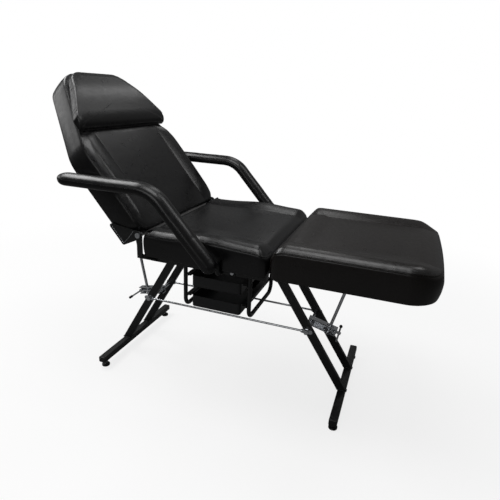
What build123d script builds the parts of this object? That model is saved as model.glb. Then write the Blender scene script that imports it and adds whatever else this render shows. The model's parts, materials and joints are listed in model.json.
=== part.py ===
# Tattoo chair with a reclining back, a leg rest that folds down, two sliding
# trays under the seat and a pad on each arm.
# Millimetres. X runs across the chair, the sitter faces -Y, Z is up.
# The origin is on the floor, in the middle of the chair's outline.
import math
import os

from build123d import *

os.makedirs("parts", exist_ok=True)

RIGHT = -1
LEFT = 1
SIDES = ((RIGHT, "right"), (LEFT, "left"))
REAR = 1
FRONT = -1

# Overrun of every cut
cut = 5.0

# Cushions
cushion_width = 600.0
seat_length = 447.0
leg_rest_length = 504.0
back_length = 657.0
seat_front_y = -212.0
cushion_gap = 4.0
cushion_base_height = 540.0
seat_side_height = 80.0
leg_side_height = 92.0
back_side_height = 88.0
bolster_rise = 19.0
bolster_inset = 38.0
bolster_width = 96.0
trough_rise = 5.0
side_draw_in = 4.0
side_draw_height = 34.0
seat_front_corner = 28.0
seat_rear_corner = 16.0
leg_seat_corner = 26.0
leg_foot_corner = 78.0
soft_gap = 0.3

# Back: how far it leans in the upright position, and its narrow head end
back_lean = 39.8
back_start_gap = 6.0
back_start_rise = 12.0
back_lower_corner = 50.0
shoulder_start = 338.0
shoulder_radius = 150.0
head_half_width = 142.0
head_corner = 100.0
pillow_seat_start = 398.0
pillow_seat_rise = 8.0

# Head pillow
pillow_start = 404.0
pillow_widest = 436.0
pillow_end = 628.0
pillow_start_half_width = 258.0
pillow_widest_half_width = 252.0
pillow_end_half_width = 118.0
pillow_side_corner = 24.0
pillow_head_corner = 84.0
pillow_lip = 8.0
pillow_roll_length = 46.0
pillow_roll_height = 38.0
pillow_crown = 42.0
pillow_head_height = 27.0

# Boards that stiffen the cushions
board_thickness = 12.0
board_inset = 16.0

# Frame tubes under the boards
frame_tube_width = 30.0
frame_tube_height = 20.0
tube_wall = 1.5
seat_rail_x = 253.0
tray_rail_x = 138.0
seat_rail_inset = 8.0
back_rail_x = 140.0
back_tube_width = 25.0
back_rail_depth = 30.0
back_rail_start = 26.0
back_rail_end = 472.0
back_cross_start = 46.0
back_cross_half_length = 245.0
leg_rail_end_inset = 84.0
leg_rail_start_inset = 8.0

# Stand
leg_spacing = 160.0
leg_tube_width = 30.0
leg_tube_thickness = 15.0
rear_bar_reach = 243.0
front_bar_reach = 262.0
rear_leg_top_inset = 28.0
front_leg_top_inset = 50.0
bar_length = 520.0
bar_width = 30.0
bar_height = 25.0
bar_corner = 5.0
bar_cap_length = 5.5
bar_plug_depth = 14.0
foot_height = 25.0
foot_spacing = 482.0
foot_pad_diameter = 32.0
foot_pad_height = 9.0
foot_pad_edge = 2.0
foot_stem_diameter = 10.0
foot_nut_width = 17.0
foot_nut_height = 5.0

# Cross rods through the legs and the side braces on their ends
cross_rod_diameter = 10.0
rear_cross_shift = 1.0
front_cross_shift = 8.0
cross_rod_z = 270.0
running_gap = 0.08
side_gap = 0.4
spacer_diameter = 14.0
brace_diameter = 8.0
brace_flat_thickness = 4.0
brace_flat_length = 30.0
brace_flat_width = 16.0
washer_thickness = 2.5
washer_diameter = 20.0
cap_nut_width = 17.0
cap_nut_height = 9.0

# Adjusting struts and the clamps that they slide through
strut_diameter = 12.0
eye_diameter = 22.0
eye_width = 14.0
strut_pin_diameter = 8.0
lug_thickness = 4.0
lug_radius = 9.0
pin_head_diameter = 13.0
pin_head_height = 3.0
back_pin_along = 309.4
back_pin_depth = 26.3
back_cross_gap = 13.0
leg_pin_y = -463.0
leg_pin_drop = 12.0
back_strut_offset = 68.0
leg_strut_offset = 73.0
strut_tail = 10.0
clamp_height = 30.0
clamp_half_width = 13.0
clamp_wall = 3.0
clamp_reach = 103.0
clamp_back = 14.0
clamp_boss_diameter = 20.0
clamp_boss_length = 40.0
slot_travel = 8.0
slot_side_gap = 0.6

# Lock levers on the clamps
lever_pin_diameter = 6.0
lever_pin_inset = 6.0
lever_hub_diameter = 15.0
lock_plate_thickness = 5.0
lock_plate_inner = 21.0
lock_plate_outer = 17.5
lock_slot_gap = 1.0
lock_slot_outer = 13.0
lock_slot_length = 60.0
lever_rod_diameter = 7.0
lever_link_width = 9.0
leg_knob_diameter = 13.0
back_tip_diameter = 11.0
back_tip_length = 20.0
tip_overlap = 6.0
tip_edge = 2.0
back_lever_start = (0.0, 0.0)
back_lever_end = (66.0, -34.0)
leg_lever_start = (20.0, -40.0)
leg_lever_end = (13.0, 30.0)
spring_wire = 1.2
spring_radius = 4.3
spring_pitch = 1.9
spring_end_gap = 0.35
spring_turns = 2

# Hinges
hinge_plate = 4.5
hinge_gap = 0.6
hinge_bolt_diameter = 10.0
bolt_head_diameter = 19.0
bolt_head_height = 4.0
hinge_nut_width = 17.0
hinge_nut_height = 6.0
back_hinge_reach = 19.0
bracket_radius = 12.0
bracket_relief = 3.0
bracket_tab_inset = 49.0
arm_plate_radius = 14.0
arm_plate_corner = 8.0
arm_plate_start = 2.0
arm_plate_length = 90.0
arm_flange_gap = 2.0
leg_hinge_drop = 48.0
leg_hinge_radius = 14.0
leg_hinge_foot = 24.0

# Tray carrier and trays
carrier_tube = 16.0
carrier_wall = 1.5
carrier_front_inset = 107.0
carrier_rear_inset = 77.0
carrier_drop = 240.0
carrier_bend = 34.0
upper_rim_drop = 103.0
lower_rim_drop = 186.0
runner_reach = 18.0
runner_thickness = 2.0
runner_height = 14.0
slide_gap = 0.4
tray_overhang = 12.0
tray_body_inset = 23.5
tray_height = 47.0
tray_wall = 2.5
tray_flange = 18.0
tray_corner = 12.0
tray_base_edge = 6.0

# Armrests
arm_x = 357.0
arm_width = 58.0
arm_height = 36.0
arm_tip_reach = 278.0
arm_level_rise = 261.0
arm_bend_inset = 75.0
arm_bend_radius = 95.0
arm_end_inset = 282.0
arm_end_rise = 34.0
arm_rounding = 13.0
arm_core_width = 30.0
arm_core_thickness = 4.0
arm_tube = 16.0
arm_tube_bend = 21.0
arm_elbow_x = 310.5
arm_flange_length = 96.0
arm_flange_height = 18.0
arm_flange_thickness = 4.0
arm_bolt_spacing = 78.0
arm_bolt_diameter = 6.0
arm_bolt_head_diameter = 12.0
arm_bolt_head_height = 4.0

# Screws that hold the boards on the frames
screw_head_diameter = 12.0
screw_head_height = 3.0
screw_shank_diameter = 5.0
screw_bite = 8.0
screw_end_inset = 60.0

# Places worked out from the sizes above
half_width = cushion_width / 2
seat_rear_y = seat_front_y + seat_length
leg_rest_start_y = seat_front_y - cushion_gap
leg_rest_end_y = leg_rest_start_y - leg_rest_length
frame_z = cushion_base_height - frame_tube_height / 2
frame_bottom_z = cushion_base_height - frame_tube_height
bar_top_z = foot_height + bar_height
bar_centre_z = foot_height + bar_height / 2
rear_bar_y = seat_rear_y + rear_bar_reach
front_bar_y = seat_front_y - front_bar_reach
rear_leg_top_y = seat_rear_y - rear_leg_top_inset
front_leg_top_y = seat_front_y + front_leg_top_inset
outer_rail_face = seat_rail_x + frame_tube_width / 2
inner_rail_face = tray_rail_x + frame_tube_width / 2

back_start_y = seat_rear_y + back_start_gap
back_hinge_y = seat_rear_y + back_hinge_reach
back_hinge_z = cushion_base_height + seat_side_height
back_start_z = back_hinge_z + back_start_rise
bracket_tab_start_y = seat_rear_y - bracket_tab_inset
carrier_front_y = seat_front_y + carrier_front_inset
carrier_rear_y = seat_rear_y - carrier_rear_inset
carrier_bottom_z = cushion_base_height - carrier_drop
upper_rim_z = cushion_base_height - upper_rim_drop
lower_rim_z = cushion_base_height - lower_rim_drop
tray_length = 2 * (tray_rail_x + tray_overhang)
tray_width = carrier_rear_y - carrier_front_y - carrier_tube - 2 * tray_body_inset
arm_tip_y = seat_rear_y + arm_tip_reach
arm_bend_y = seat_rear_y - arm_bend_inset
arm_end_y = seat_rear_y - arm_end_inset
arm_level_z = cushion_base_height + arm_level_rise
arm_end_z = cushion_base_height + arm_end_rise

# The cross rods go through the legs at one height, at a whole millimetre along the chair
rod_share = (cross_rod_z - bar_top_z) / (frame_bottom_z - bar_top_z)
rear_cross_y = round(rear_bar_y + rod_share * (rear_leg_top_y - rear_bar_y)) + rear_cross_shift
front_cross_y = round(front_bar_y + rod_share * (front_leg_top_y - front_bar_y)) + front_cross_shift

lean = math.radians(back_lean)
back_up = Vector(0, math.sin(lean), math.cos(lean))
back_front = Vector(0, -math.cos(lean), math.sin(lean))
back_plane = Plane(origin=(0, back_start_y, back_start_z), x_dir=(1, 0, 0), z_dir=back_front)
back_board_base = -back_side_height
back_tube_face = back_board_base - (back_rail_depth - back_tube_width)
back_frame_base = back_board_base - back_rail_depth

back_pin = back_plane.from_local_coords((0, back_pin_along, back_board_base - back_pin_depth))
leg_pin_z = cushion_base_height - leg_pin_drop
leg_hinge_z = cushion_base_height - leg_hinge_drop
leg_hinge_y = seat_front_y - cushion_gap / 2
hinge_in_back = back_plane.to_local_coords(Vector(0, back_hinge_y, back_hinge_z))


def save(builder, name):
    """Label the finished piece and write it."""
    builder.part.label = name
    export_step(builder.part, f"parts/{name}.step")


def side_plane(x):
    """Plane across the chair at x, with sketch axes Y and Z."""
    return Plane.YZ.offset(x)


def back_side_plane(x):
    """Plane across the back at x, with sketch axes along the back and out of its front."""
    return Plane(origin=(x, back_start_y, back_start_z), x_dir=back_up, z_dir=(1, 0, 0))


def slice_plane(y):
    """Upright plane at y, with sketch axes X and Z, that extrudes towards the foot end."""
    return Plane(origin=(0, y, 0), x_dir=(1, 0, 0), z_dir=(0, -1, 0))


def welded_tubes(runs, wall):
    """Square tubes, each a centre and a size, welded with their insides joined."""
    for centre, size in runs:
        with Locations(centre):
            Box(*size)
    for centre, size in runs:
        with Locations(centre):
            Box(*[length - 2 * wall for length in size], mode=Mode.SUBTRACT)


def trough_slice(plane, top, floor):
    """The hollow between the two bolsters, as a slice across a cushion."""
    crest = half_width - bolster_inset
    edge = half_width - bolster_width
    with BuildSketch(plane) as hollow:
        with BuildLine():
            for side, _ in SIDES:
                middle = (side * (crest + edge) / 2, (top + floor) / 2)
                TangentArc((side * crest, top), middle, tangent=(-side, 0))
                TangentArc((side * edge, floor), middle, tangent=(side, 0))
            Line((-edge, floor), (edge, floor))
            Polyline((-crest, top), (-crest, top + cut), (crest, top + cut), (crest, top))
        make_face()
    return hollow.sketch


def round_row(plan, row, radius):
    """Round the corners in one row of a plan, where rows are counted from the foot end."""
    fillet(plan.vertices().group_by(Axis.Y)[row], radius=radius)


def seat_outline(plane, inset=0.0):
    """Plan of the seat cushion: a rectangle with larger corners at the leg rest."""
    with BuildSketch(plane) as plan:
        with Locations((0, seat_front_y + seat_length / 2)):
            Rectangle(cushion_width - 2 * inset, seat_length - 2 * inset)
        round_row(plan, 0, seat_front_corner)
        round_row(plan, -1, seat_rear_corner)
    return plan.sketch


def leg_outline(plane, inset=0.0):
    """Plan of the leg cushion: a rectangle with wide round corners at the foot end."""
    with BuildSketch(plane) as plan:
        with Locations((0, leg_rest_start_y - leg_rest_length / 2)):
            Rectangle(cushion_width - 2 * inset, leg_rest_length - 2 * inset)
        round_row(plan, 0, leg_foot_corner - inset)
        round_row(plan, -1, leg_seat_corner)
    return plan.sketch


def back_outline(plane, inset=0.0):
    """Plan of the back, seen from its front: parallel sides, then a narrowing head end."""
    half = half_width - inset
    head_half = head_half_width - inset
    end = back_length - inset
    with BuildSketch(plane) as plan:
        Polygon(
            (-half, inset),
            (half, inset),
            (half, shoulder_start),
            (head_half, end),
            (-head_half, end),
            (-half, shoulder_start),
            align=None,
        )
        round_row(plan, 1, shoulder_radius)
        round_row(plan, 0, back_lower_corner - inset)
        round_row(plan, -1, head_corner - inset)
    return plan.sketch


def circles(plane, places, diameter):
    """Equal circles on a plane."""
    with BuildSketch(plane) as spots:
        with Locations(*places):
            Circle(diameter / 2)
    return spots.sketch


def boxed_cushion(base_plane, outline, side_height):
    """A boxed cushion with sides drawn in towards its base and a rolled top edge."""
    draw_angle = math.degrees(math.atan2(side_draw_in, side_draw_height))
    upward = Axis(base_plane.origin, base_plane.z_dir)
    plan = outline(base_plane.offset(side_draw_height))
    extrude(plan, amount=side_height + bolster_rise - side_draw_height)
    fillet(faces().sort_by(upward)[-1].edges(), radius=bolster_rise)
    extrude(plan, amount=-side_draw_height, taper=draw_angle)


def board_pocket(base_plane, outline):
    """The pocket in a cushion's underside that takes its board."""
    pocket = outline(base_plane, board_inset - soft_gap)
    extrude(pocket, amount=board_thickness + soft_gap, mode=Mode.SUBTRACT)


def board(base_plane, outline, screw_places):
    """A plywood board with blind holes for the screws."""
    extrude(outline(base_plane, board_inset), amount=board_thickness)
    holes = circles(base_plane, screw_places, screw_shank_diameter)
    extrude(holes, amount=screw_bite, mode=Mode.SUBTRACT)


def screw_holes(base_plane, screw_places, depth):
    """Holes for the screws down through the frame tubes."""
    holes = circles(base_plane, screw_places, screw_shank_diameter)
    extrude(holes, amount=-depth, mode=Mode.SUBTRACT)


def board_screws(base_plane, screw_places, depth):
    """Screws up through the frame tubes into the board."""
    head_plane = base_plane.offset(-depth)
    extrude(circles(head_plane, screw_places, screw_head_diameter), amount=-screw_head_height)
    extrude(circles(head_plane, screw_places, screw_shank_diameter), amount=depth + screw_bite)


def strut_lugs(pin_plane, tube_edge):
    """Two lugs that carry a strut pin, reaching from the tube's edge to the pin."""
    for side, _ in SIDES:
        with BuildSketch(pin_plane.offset(side * (eye_width / 2 + side_gap))) as lug:
            Circle(lug_radius)
            with Locations((tube_edge / 2, 0)):
                Rectangle(abs(tube_edge), 2 * lug_radius)
            Circle(strut_pin_diameter / 2, mode=Mode.SUBTRACT)
        extrude(lug.sketch, amount=side * lug_thickness)


# Seat cushion, board, frame and screws
seat_plane = Plane.XY.offset(cushion_base_height)
seat_screw_places = [
    (side * seat_rail_x, y)
    for side, _ in SIDES
    for y in (seat_front_y + screw_end_inset, seat_rear_y - screw_end_inset)
]

with BuildPart() as seat_cushion:
    boxed_cushion(seat_plane, seat_outline, seat_side_height)
    seam_z = cushion_base_height + seat_side_height
    hollow = trough_slice(slice_plane(seat_rear_y + cut), seam_z + bolster_rise, seam_z + trough_rise)
    extrude(hollow, amount=seat_length + 2 * cut, mode=Mode.SUBTRACT)
    board_pocket(seat_plane, seat_outline)
save(seat_cushion, "seat_cushion")

with BuildPart() as seat_board:
    board(seat_plane, seat_outline, seat_screw_places)
save(seat_board, "seat_board")

rail_start_y = seat_front_y + seat_rail_inset
rail_end_y = seat_rear_y - seat_rail_inset
rail_middle_y = (rail_start_y + rail_end_y) / 2
rail_length = rail_end_y - rail_start_y

with BuildPart() as seat_frame:
    tube_runs = [
        ((x, rail_middle_y, frame_z), (frame_tube_width, rail_length, frame_tube_height))
        for x in (-seat_rail_x, -tray_rail_x, tray_rail_x, seat_rail_x)
    ]
    tube_runs += [
        ((0, y, frame_z), (2 * seat_rail_x, frame_tube_width, frame_tube_height))
        for y in (front_leg_top_y, rear_leg_top_y)
    ]
    welded_tubes(tube_runs, tube_wall)
    screw_holes(seat_plane, seat_screw_places, frame_tube_height)
    for side, _ in SIDES:
        with BuildSketch(side_plane(side * outer_rail_face)):
            for step in (-1, 1):
                with Locations((arm_end_y + step * arm_bolt_spacing / 2, frame_z)):
                    Circle(arm_bolt_diameter / 2)
        extrude(amount=-side * tube_wall, mode=Mode.SUBTRACT)
save(seat_frame, "seat_frame")

with BuildPart() as seat_screws:
    board_screws(seat_plane, seat_screw_places, frame_tube_height)
save(seat_screws, "seat_screws")


# Leg rest cushion, board, frame and screws
leg_rail_x = inner_rail_face + hinge_plate + hinge_gap + hinge_plate + frame_tube_width / 2
leg_rail_start_y = leg_rest_start_y - leg_rail_start_inset
leg_rail_end_y = leg_rest_end_y + leg_rail_end_inset
leg_screw_places = [
    (side * leg_rail_x, y)
    for side, _ in SIDES
    for y in (leg_rail_start_y - screw_end_inset, leg_rail_end_y + screw_end_inset)
]
leg_lug_tube_y = leg_pin_y - eye_diameter / 2 - cushion_gap - frame_tube_width / 2

with BuildPart() as leg_cushion:
    boxed_cushion(seat_plane, leg_outline, leg_side_height)
    seam_z = cushion_base_height + leg_side_height
    hollow = trough_slice(slice_plane(leg_rest_start_y + cut), seam_z + bolster_rise, seam_z + trough_rise)
    extrude(hollow, amount=leg_rest_length + 2 * cut, mode=Mode.SUBTRACT)
    board_pocket(seat_plane, leg_outline)
save(leg_cushion, "leg_cushion")

with BuildPart() as leg_board:
    board(seat_plane, leg_outline, leg_screw_places)
save(leg_board, "leg_board")


leg_pin_plane = Plane(origin=(0, leg_pin_y, leg_pin_z), x_dir=(0, 1, 0), z_dir=(1, 0, 0))

with BuildPart() as leg_frame:
    rail_length = leg_rail_start_y - leg_rail_end_y
    rail_middle_y = (leg_rail_start_y + leg_rail_end_y) / 2
    tube_runs = [
        ((side * leg_rail_x, rail_middle_y, frame_z), (frame_tube_width, rail_length, frame_tube_height))
        for side, _ in SIDES
    ]
    tube_runs += [
        ((0, y, frame_z), (2 * leg_rail_x, frame_tube_width, frame_tube_height))
        for y in (leg_lug_tube_y, leg_rail_end_y + frame_tube_width / 2)
    ]
    welded_tubes(tube_runs, tube_wall)
    screw_holes(seat_plane, leg_screw_places, frame_tube_height)
    strut_lugs(leg_pin_plane, leg_lug_tube_y + frame_tube_width / 2 - leg_pin_y)
save(leg_frame, "leg_frame")

with BuildPart() as leg_screws:
    board_screws(seat_plane, leg_screw_places, frame_tube_height)
save(leg_screws, "leg_screws")


# Back cushion, board, frame, screws and head pillow
back_base = back_plane.offset(back_board_base)
back_screw_places = [
    (side * back_rail_x, along)
    for side, _ in SIDES
    for along in (back_rail_start + screw_end_inset, back_rail_end - screw_end_inset)
]

with BuildPart() as back_cushion:
    boxed_cushion(back_base, back_outline, back_side_height)
    trough_plane = Plane(origin=back_plane.origin - cut * back_up, x_dir=(1, 0, 0), z_dir=-back_up)
    hollow = trough_slice(trough_plane, bolster_rise, trough_rise)
    extrude(hollow, amount=-(pillow_seat_start + 2 * cut), mode=Mode.SUBTRACT)
    with BuildSketch(back_plane.offset(pillow_seat_rise)):
        with Locations((0, (pillow_seat_start + back_length + cut) / 2)):
            Rectangle(cushion_width + 2 * cut, back_length + cut - pillow_seat_start)
    extrude(amount=bolster_rise + cut, mode=Mode.SUBTRACT)
    board_pocket(back_base, back_outline)
save(back_cushion, "back_cushion")

with BuildPart() as back_board:
    board(back_base, back_outline, back_screw_places)
save(back_board, "back_board")

back_lug_tube_start = back_pin_along + back_cross_gap
back_pin_plane = Plane(origin=back_pin, x_dir=back_up, z_dir=(1, 0, 0))

with BuildPart(back_plane) as back_frame:
    rail_length = back_rail_end - back_rail_start
    rail_size = (back_tube_width, rail_length, back_rail_depth)
    rail_depth = (back_board_base + back_frame_base) / 2
    cross_depth = (back_tube_face + back_frame_base) / 2
    cross_rows = (
        (back_cross_start, 2 * back_cross_half_length),
        (back_lug_tube_start + back_tube_width / 2, 2 * back_rail_x),
        (back_rail_end - back_tube_width / 2, 2 * back_rail_x),
    )
    tube_runs = [
        ((side * back_rail_x, (back_rail_start + back_rail_end) / 2, rail_depth), rail_size)
        for side, _ in SIDES
    ]
    tube_runs += [
        ((0, along, cross_depth), (length, back_tube_width, back_tube_width))
        for along, length in cross_rows
    ]
    welded_tubes(tube_runs, tube_wall)
    screw_holes(back_base, back_screw_places, back_rail_depth)
    strut_lugs(back_pin_plane, back_cross_gap)
save(back_frame, "back_frame")

with BuildPart() as back_screws:
    board_screws(back_base, back_screw_places, back_rail_depth)
save(back_screws, "back_screws")

with BuildPart() as head_pillow:
    seat_level = pillow_seat_rise + soft_gap
    with BuildSketch(back_plane.offset(seat_level)) as pillow_plan:
        with BuildLine():
            Polyline(
                (-pillow_start_half_width, pillow_start),
                (pillow_start_half_width, pillow_start),
                (pillow_widest_half_width, pillow_widest),
                (pillow_end_half_width, pillow_end),
                (-pillow_end_half_width, pillow_end),
                (-pillow_widest_half_width, pillow_widest),
                close=True,
            )
        make_face()
        round_row(pillow_plan, -1, pillow_head_corner)
        round_row(pillow_plan, 1, pillow_side_corner)
    extrude(amount=pillow_crown + bolster_rise)
    with BuildSketch(back_side_plane(0)):
        with BuildLine():
            roll_end = (pillow_start + pillow_roll_length, seat_level + pillow_roll_height)
            crown_top = ((pillow_start + pillow_end) / 2, seat_level + pillow_crown)
            head_top = (pillow_end, seat_level + pillow_head_height)
            lip = (pillow_start, seat_level + pillow_lip)
            past_head = pillow_end + cut
            Line(head_top, (past_head, head_top[1]))
            Polyline((past_head, head_top[1]), (past_head, seat_level), (pillow_start, seat_level), lip)
            TangentArc(lip, roll_end, tangent=(0, 1))
            ThreePointArc(roll_end, crown_top, head_top)
        make_face()
    extrude(amount=half_width, both=True, mode=Mode.INTERSECT)
save(head_pillow, "head_pillow")


# Stand: legs, foot bars, caps and levelling feet
bar_places = (
    (rear_bar_y, rear_leg_top_y, rear_cross_y, "rear"),
    (front_bar_y, front_leg_top_y, front_cross_y, "front"),
)
cross_rod_places = [(cross_y, cross_rod_z) for _, _, cross_y, _ in bar_places]
leg_inner_face = leg_spacing / 2 - leg_tube_thickness / 2
leg_outer_face = leg_spacing / 2 + leg_tube_thickness / 2


def leg_side(x, bar_y, top_y, width):
    """A leg's side view: a strip of the given width from its foot bar to the seat frame."""
    rise = frame_bottom_z - bar_top_z
    half_cut = width / 2 * math.hypot(rise, top_y - bar_y) / rise
    with BuildSketch(side_plane(x)) as strip:
        Polygon(
            (bar_y - half_cut, bar_top_z),
            (bar_y + half_cut, bar_top_z),
            (top_y + half_cut, frame_bottom_z),
            (top_y - half_cut, frame_bottom_z),
            align=None,
        )
    return strip.sketch


def bar_section(x, bar_y, inset):
    """The rounded section of a foot bar, smaller by the inset all round."""
    with BuildSketch(side_plane(x)) as section:
        with Locations((bar_y, bar_centre_z)):
            RectangleRounded(bar_width - 2 * inset, bar_height - 2 * inset, bar_corner - inset)
    return section.sketch


for bar_y, top_y, cross_y, end_name in bar_places:
    for side, side_name in SIDES:
        with BuildPart() as leg:
            leg_x = side * leg_inner_face
            extrude(leg_side(leg_x, bar_y, top_y, leg_tube_width), amount=side * leg_tube_thickness)
            hollow = leg_side(leg_x + side * tube_wall, bar_y, top_y, leg_tube_width - 2 * tube_wall)
            extrude(hollow, amount=side * (leg_tube_thickness - 2 * tube_wall), mode=Mode.SUBTRACT)
            rod_hole = circles(side_plane(leg_x), [(cross_y, cross_rod_z)], cross_rod_diameter)
            extrude(rod_hole, amount=side * leg_tube_thickness, mode=Mode.SUBTRACT)
        save(leg, f"{end_name}_leg_{side_name}")

    with BuildPart() as foot_bar:
        extrude(bar_section(-bar_length / 2, bar_y, 0), amount=bar_length)
        extrude(bar_section(-bar_length / 2, bar_y, tube_wall), amount=bar_length, mode=Mode.SUBTRACT)
        with BuildSketch(Plane.XY.offset(foot_height)):
            with Locations(*[(side * foot_spacing / 2, bar_y) for side, _ in SIDES]):
                Circle(foot_stem_diameter / 2)
        extrude(amount=tube_wall, mode=Mode.SUBTRACT)
    save(foot_bar, f"{end_name}_foot_bar")

with BuildPart() as foot_bar_caps:
    for bar_y, _, _, _ in bar_places:
        for side, _ in SIDES:
            bar_end = side * bar_length / 2
            extrude(bar_section(bar_end, bar_y, 0), amount=side * bar_cap_length)
            extrude(bar_section(bar_end, bar_y, tube_wall), amount=-side * bar_plug_depth)
    outer_faces = foot_bar_caps.faces().filter_by(Axis.X).sort_by(Axis.X)
    fillet((outer_faces[:2] + outer_faces[-2:]).edges(), radius=bar_corner - tube_wall)
save(foot_bar_caps, "foot_bar_caps")

foot_places = [(side * foot_spacing / 2, bar_y) for bar_y, _, _, _ in bar_places for side, _ in SIDES]

with BuildPart() as levelling_feet:
    with BuildSketch():
        with Locations(*foot_places):
            Circle(foot_pad_diameter / 2)
    extrude(amount=foot_pad_height)
    fillet(levelling_feet.edges().filter_by(GeomType.CIRCLE), radius=foot_pad_edge)
    with BuildSketch(Plane.XY.offset(foot_pad_height)):
        with Locations(*foot_places):
            Circle(foot_stem_diameter / 2)
    extrude(amount=foot_height + tube_wall - foot_pad_height)
save(levelling_feet, "levelling_feet")

with BuildPart() as foot_nuts:
    with BuildSketch(Plane.XY.offset(foot_height)):
        with Locations(*foot_places):
            RegularPolygon(foot_nut_width / 2, side_count=6, major_radius=False)
            Circle(foot_stem_diameter / 2, mode=Mode.SUBTRACT)
    extrude(amount=-foot_nut_height)
save(foot_nuts, "foot_nuts")


# Cross rods, spacers, side braces and their nuts
brace_inner_x = leg_outer_face + washer_thickness
brace_x = brace_inner_x + brace_flat_thickness / 2
nut_face_x = brace_inner_x + brace_flat_thickness
cross_rod_end = nut_face_x + cap_nut_height / 2

with BuildPart() as cross_rods:
    rods = circles(side_plane(-cross_rod_end), cross_rod_places, cross_rod_diameter)
    extrude(rods, amount=2 * cross_rod_end)
save(cross_rods, "cross_rods")

with BuildPart() as cross_rod_spacers:
    for side, _ in SIDES:
        with BuildSketch(side_plane(side * leg_inner_face)):
            with Locations(*cross_rod_places):
                Circle(spacer_diameter / 2)
                Circle(cross_rod_diameter / 2, mode=Mode.SUBTRACT)
        extrude(amount=-side * (leg_inner_face - clamp_boss_length / 2 - side_gap))
save(cross_rod_spacers, "cross_rod_spacers")

for side, side_name in SIDES:
    with BuildPart() as brace:
        with BuildSketch(slice_plane(rear_cross_y - brace_flat_length / 2)):
            with Locations((side * brace_x, cross_rod_z)):
                Circle(brace_diameter / 2)
        extrude(amount=rear_cross_y - front_cross_y - brace_flat_length)
        with BuildSketch(side_plane(side * brace_inner_x)):
            with Locations(*cross_rod_places):
                SlotCenterToCenter(brace_flat_length, brace_flat_width)
                Circle(cross_rod_diameter / 2, mode=Mode.SUBTRACT)
        extrude(amount=side * brace_flat_thickness)
    save(brace, f"side_brace_{side_name}")

with BuildPart() as cross_rod_nuts:
    for side, _ in SIDES:
        washers = circles(side_plane(side * leg_outer_face), cross_rod_places, washer_diameter)
        extrude(washers, amount=side * washer_thickness)
        with BuildSketch(side_plane(side * nut_face_x)):
            with Locations(*cross_rod_places):
                RegularPolygon(cap_nut_width / 2, side_count=6, major_radius=False)
        extrude(amount=side * cap_nut_height)
        rod_room = circles(side_plane(side * leg_outer_face), cross_rod_places, cross_rod_diameter)
        extrude(rod_room, amount=side * (cross_rod_end - leg_outer_face), mode=Mode.SUBTRACT)
save(cross_rod_nuts, "cross_rod_nuts")


# Struts, clamps and lock levers
def strut_frame(pin_y, pin_z, cross_y, offset, end_sign):
    """Plane on the cross rod's middle with its Y along the strut, the pin's height and the tilt."""
    reach = math.hypot(pin_y - cross_y, pin_z - cross_rod_z)
    height = math.sqrt(reach**2 - offset**2)
    tilt = math.atan2(pin_y - cross_y, pin_z - cross_rod_z) - end_sign * math.atan2(offset, height)
    outward = (0, end_sign * math.cos(tilt), -end_sign * math.sin(tilt))
    plane = Plane(origin=(0, cross_y, cross_rod_z), x_dir=outward, z_dir=(end_sign, 0, 0))
    return plane, height, math.degrees(tilt)


rear_frame = strut_frame(back_pin.Y, back_pin.Z, rear_cross_y, back_strut_offset, REAR)
front_frame = strut_frame(leg_pin_y, leg_pin_z, front_cross_y, leg_strut_offset, FRONT)
strut_sets = (
    (rear_frame, back_strut_offset, "back", "rear", REAR, back_lever_start, back_lever_end),
    (front_frame, leg_strut_offset, "leg", "front", FRONT, leg_lever_start, leg_lever_end),
)
lever_pin_along = clamp_reach - lever_pin_inset


def make_strut(plane, pin_height, offset):
    """A round rod with an eye at its upper end, that slides through the clamp."""
    eye_plane = plane.offset(-eye_width / 2)
    with BuildPart() as strut:
        extrude(circles(eye_plane, [(offset, pin_height)], eye_diameter), amount=eye_width)
        rod_end = -clamp_height / 2 - strut_tail
        rod_foot = plane.from_local_coords((offset, rod_end, 0))
        with BuildSketch(Plane(origin=rod_foot, z_dir=plane.y_dir)):
            Circle(strut_diameter / 2)
        extrude(amount=pin_height - rod_end)
        pin_hole = circles(eye_plane, [(offset, pin_height)], strut_pin_diameter + 2 * running_gap)
        extrude(pin_hole, amount=eye_width, mode=Mode.SUBTRACT)
    return strut


def make_strut_pin(plane, pin_height, offset):
    """The pin through the lugs and the strut's eye, with a head at each end."""
    with BuildPart() as pin:
        reach = eye_width / 2 + side_gap + lug_thickness
        for start, end, diameter in (
            (-reach, reach, strut_pin_diameter),
            (reach, reach + pin_head_height, pin_head_diameter),
            (-reach - pin_head_height, -reach, pin_head_diameter),
        ):
            extrude(circles(plane.offset(start), [(offset, pin_height)], diameter), amount=end - start)
    return pin


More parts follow.
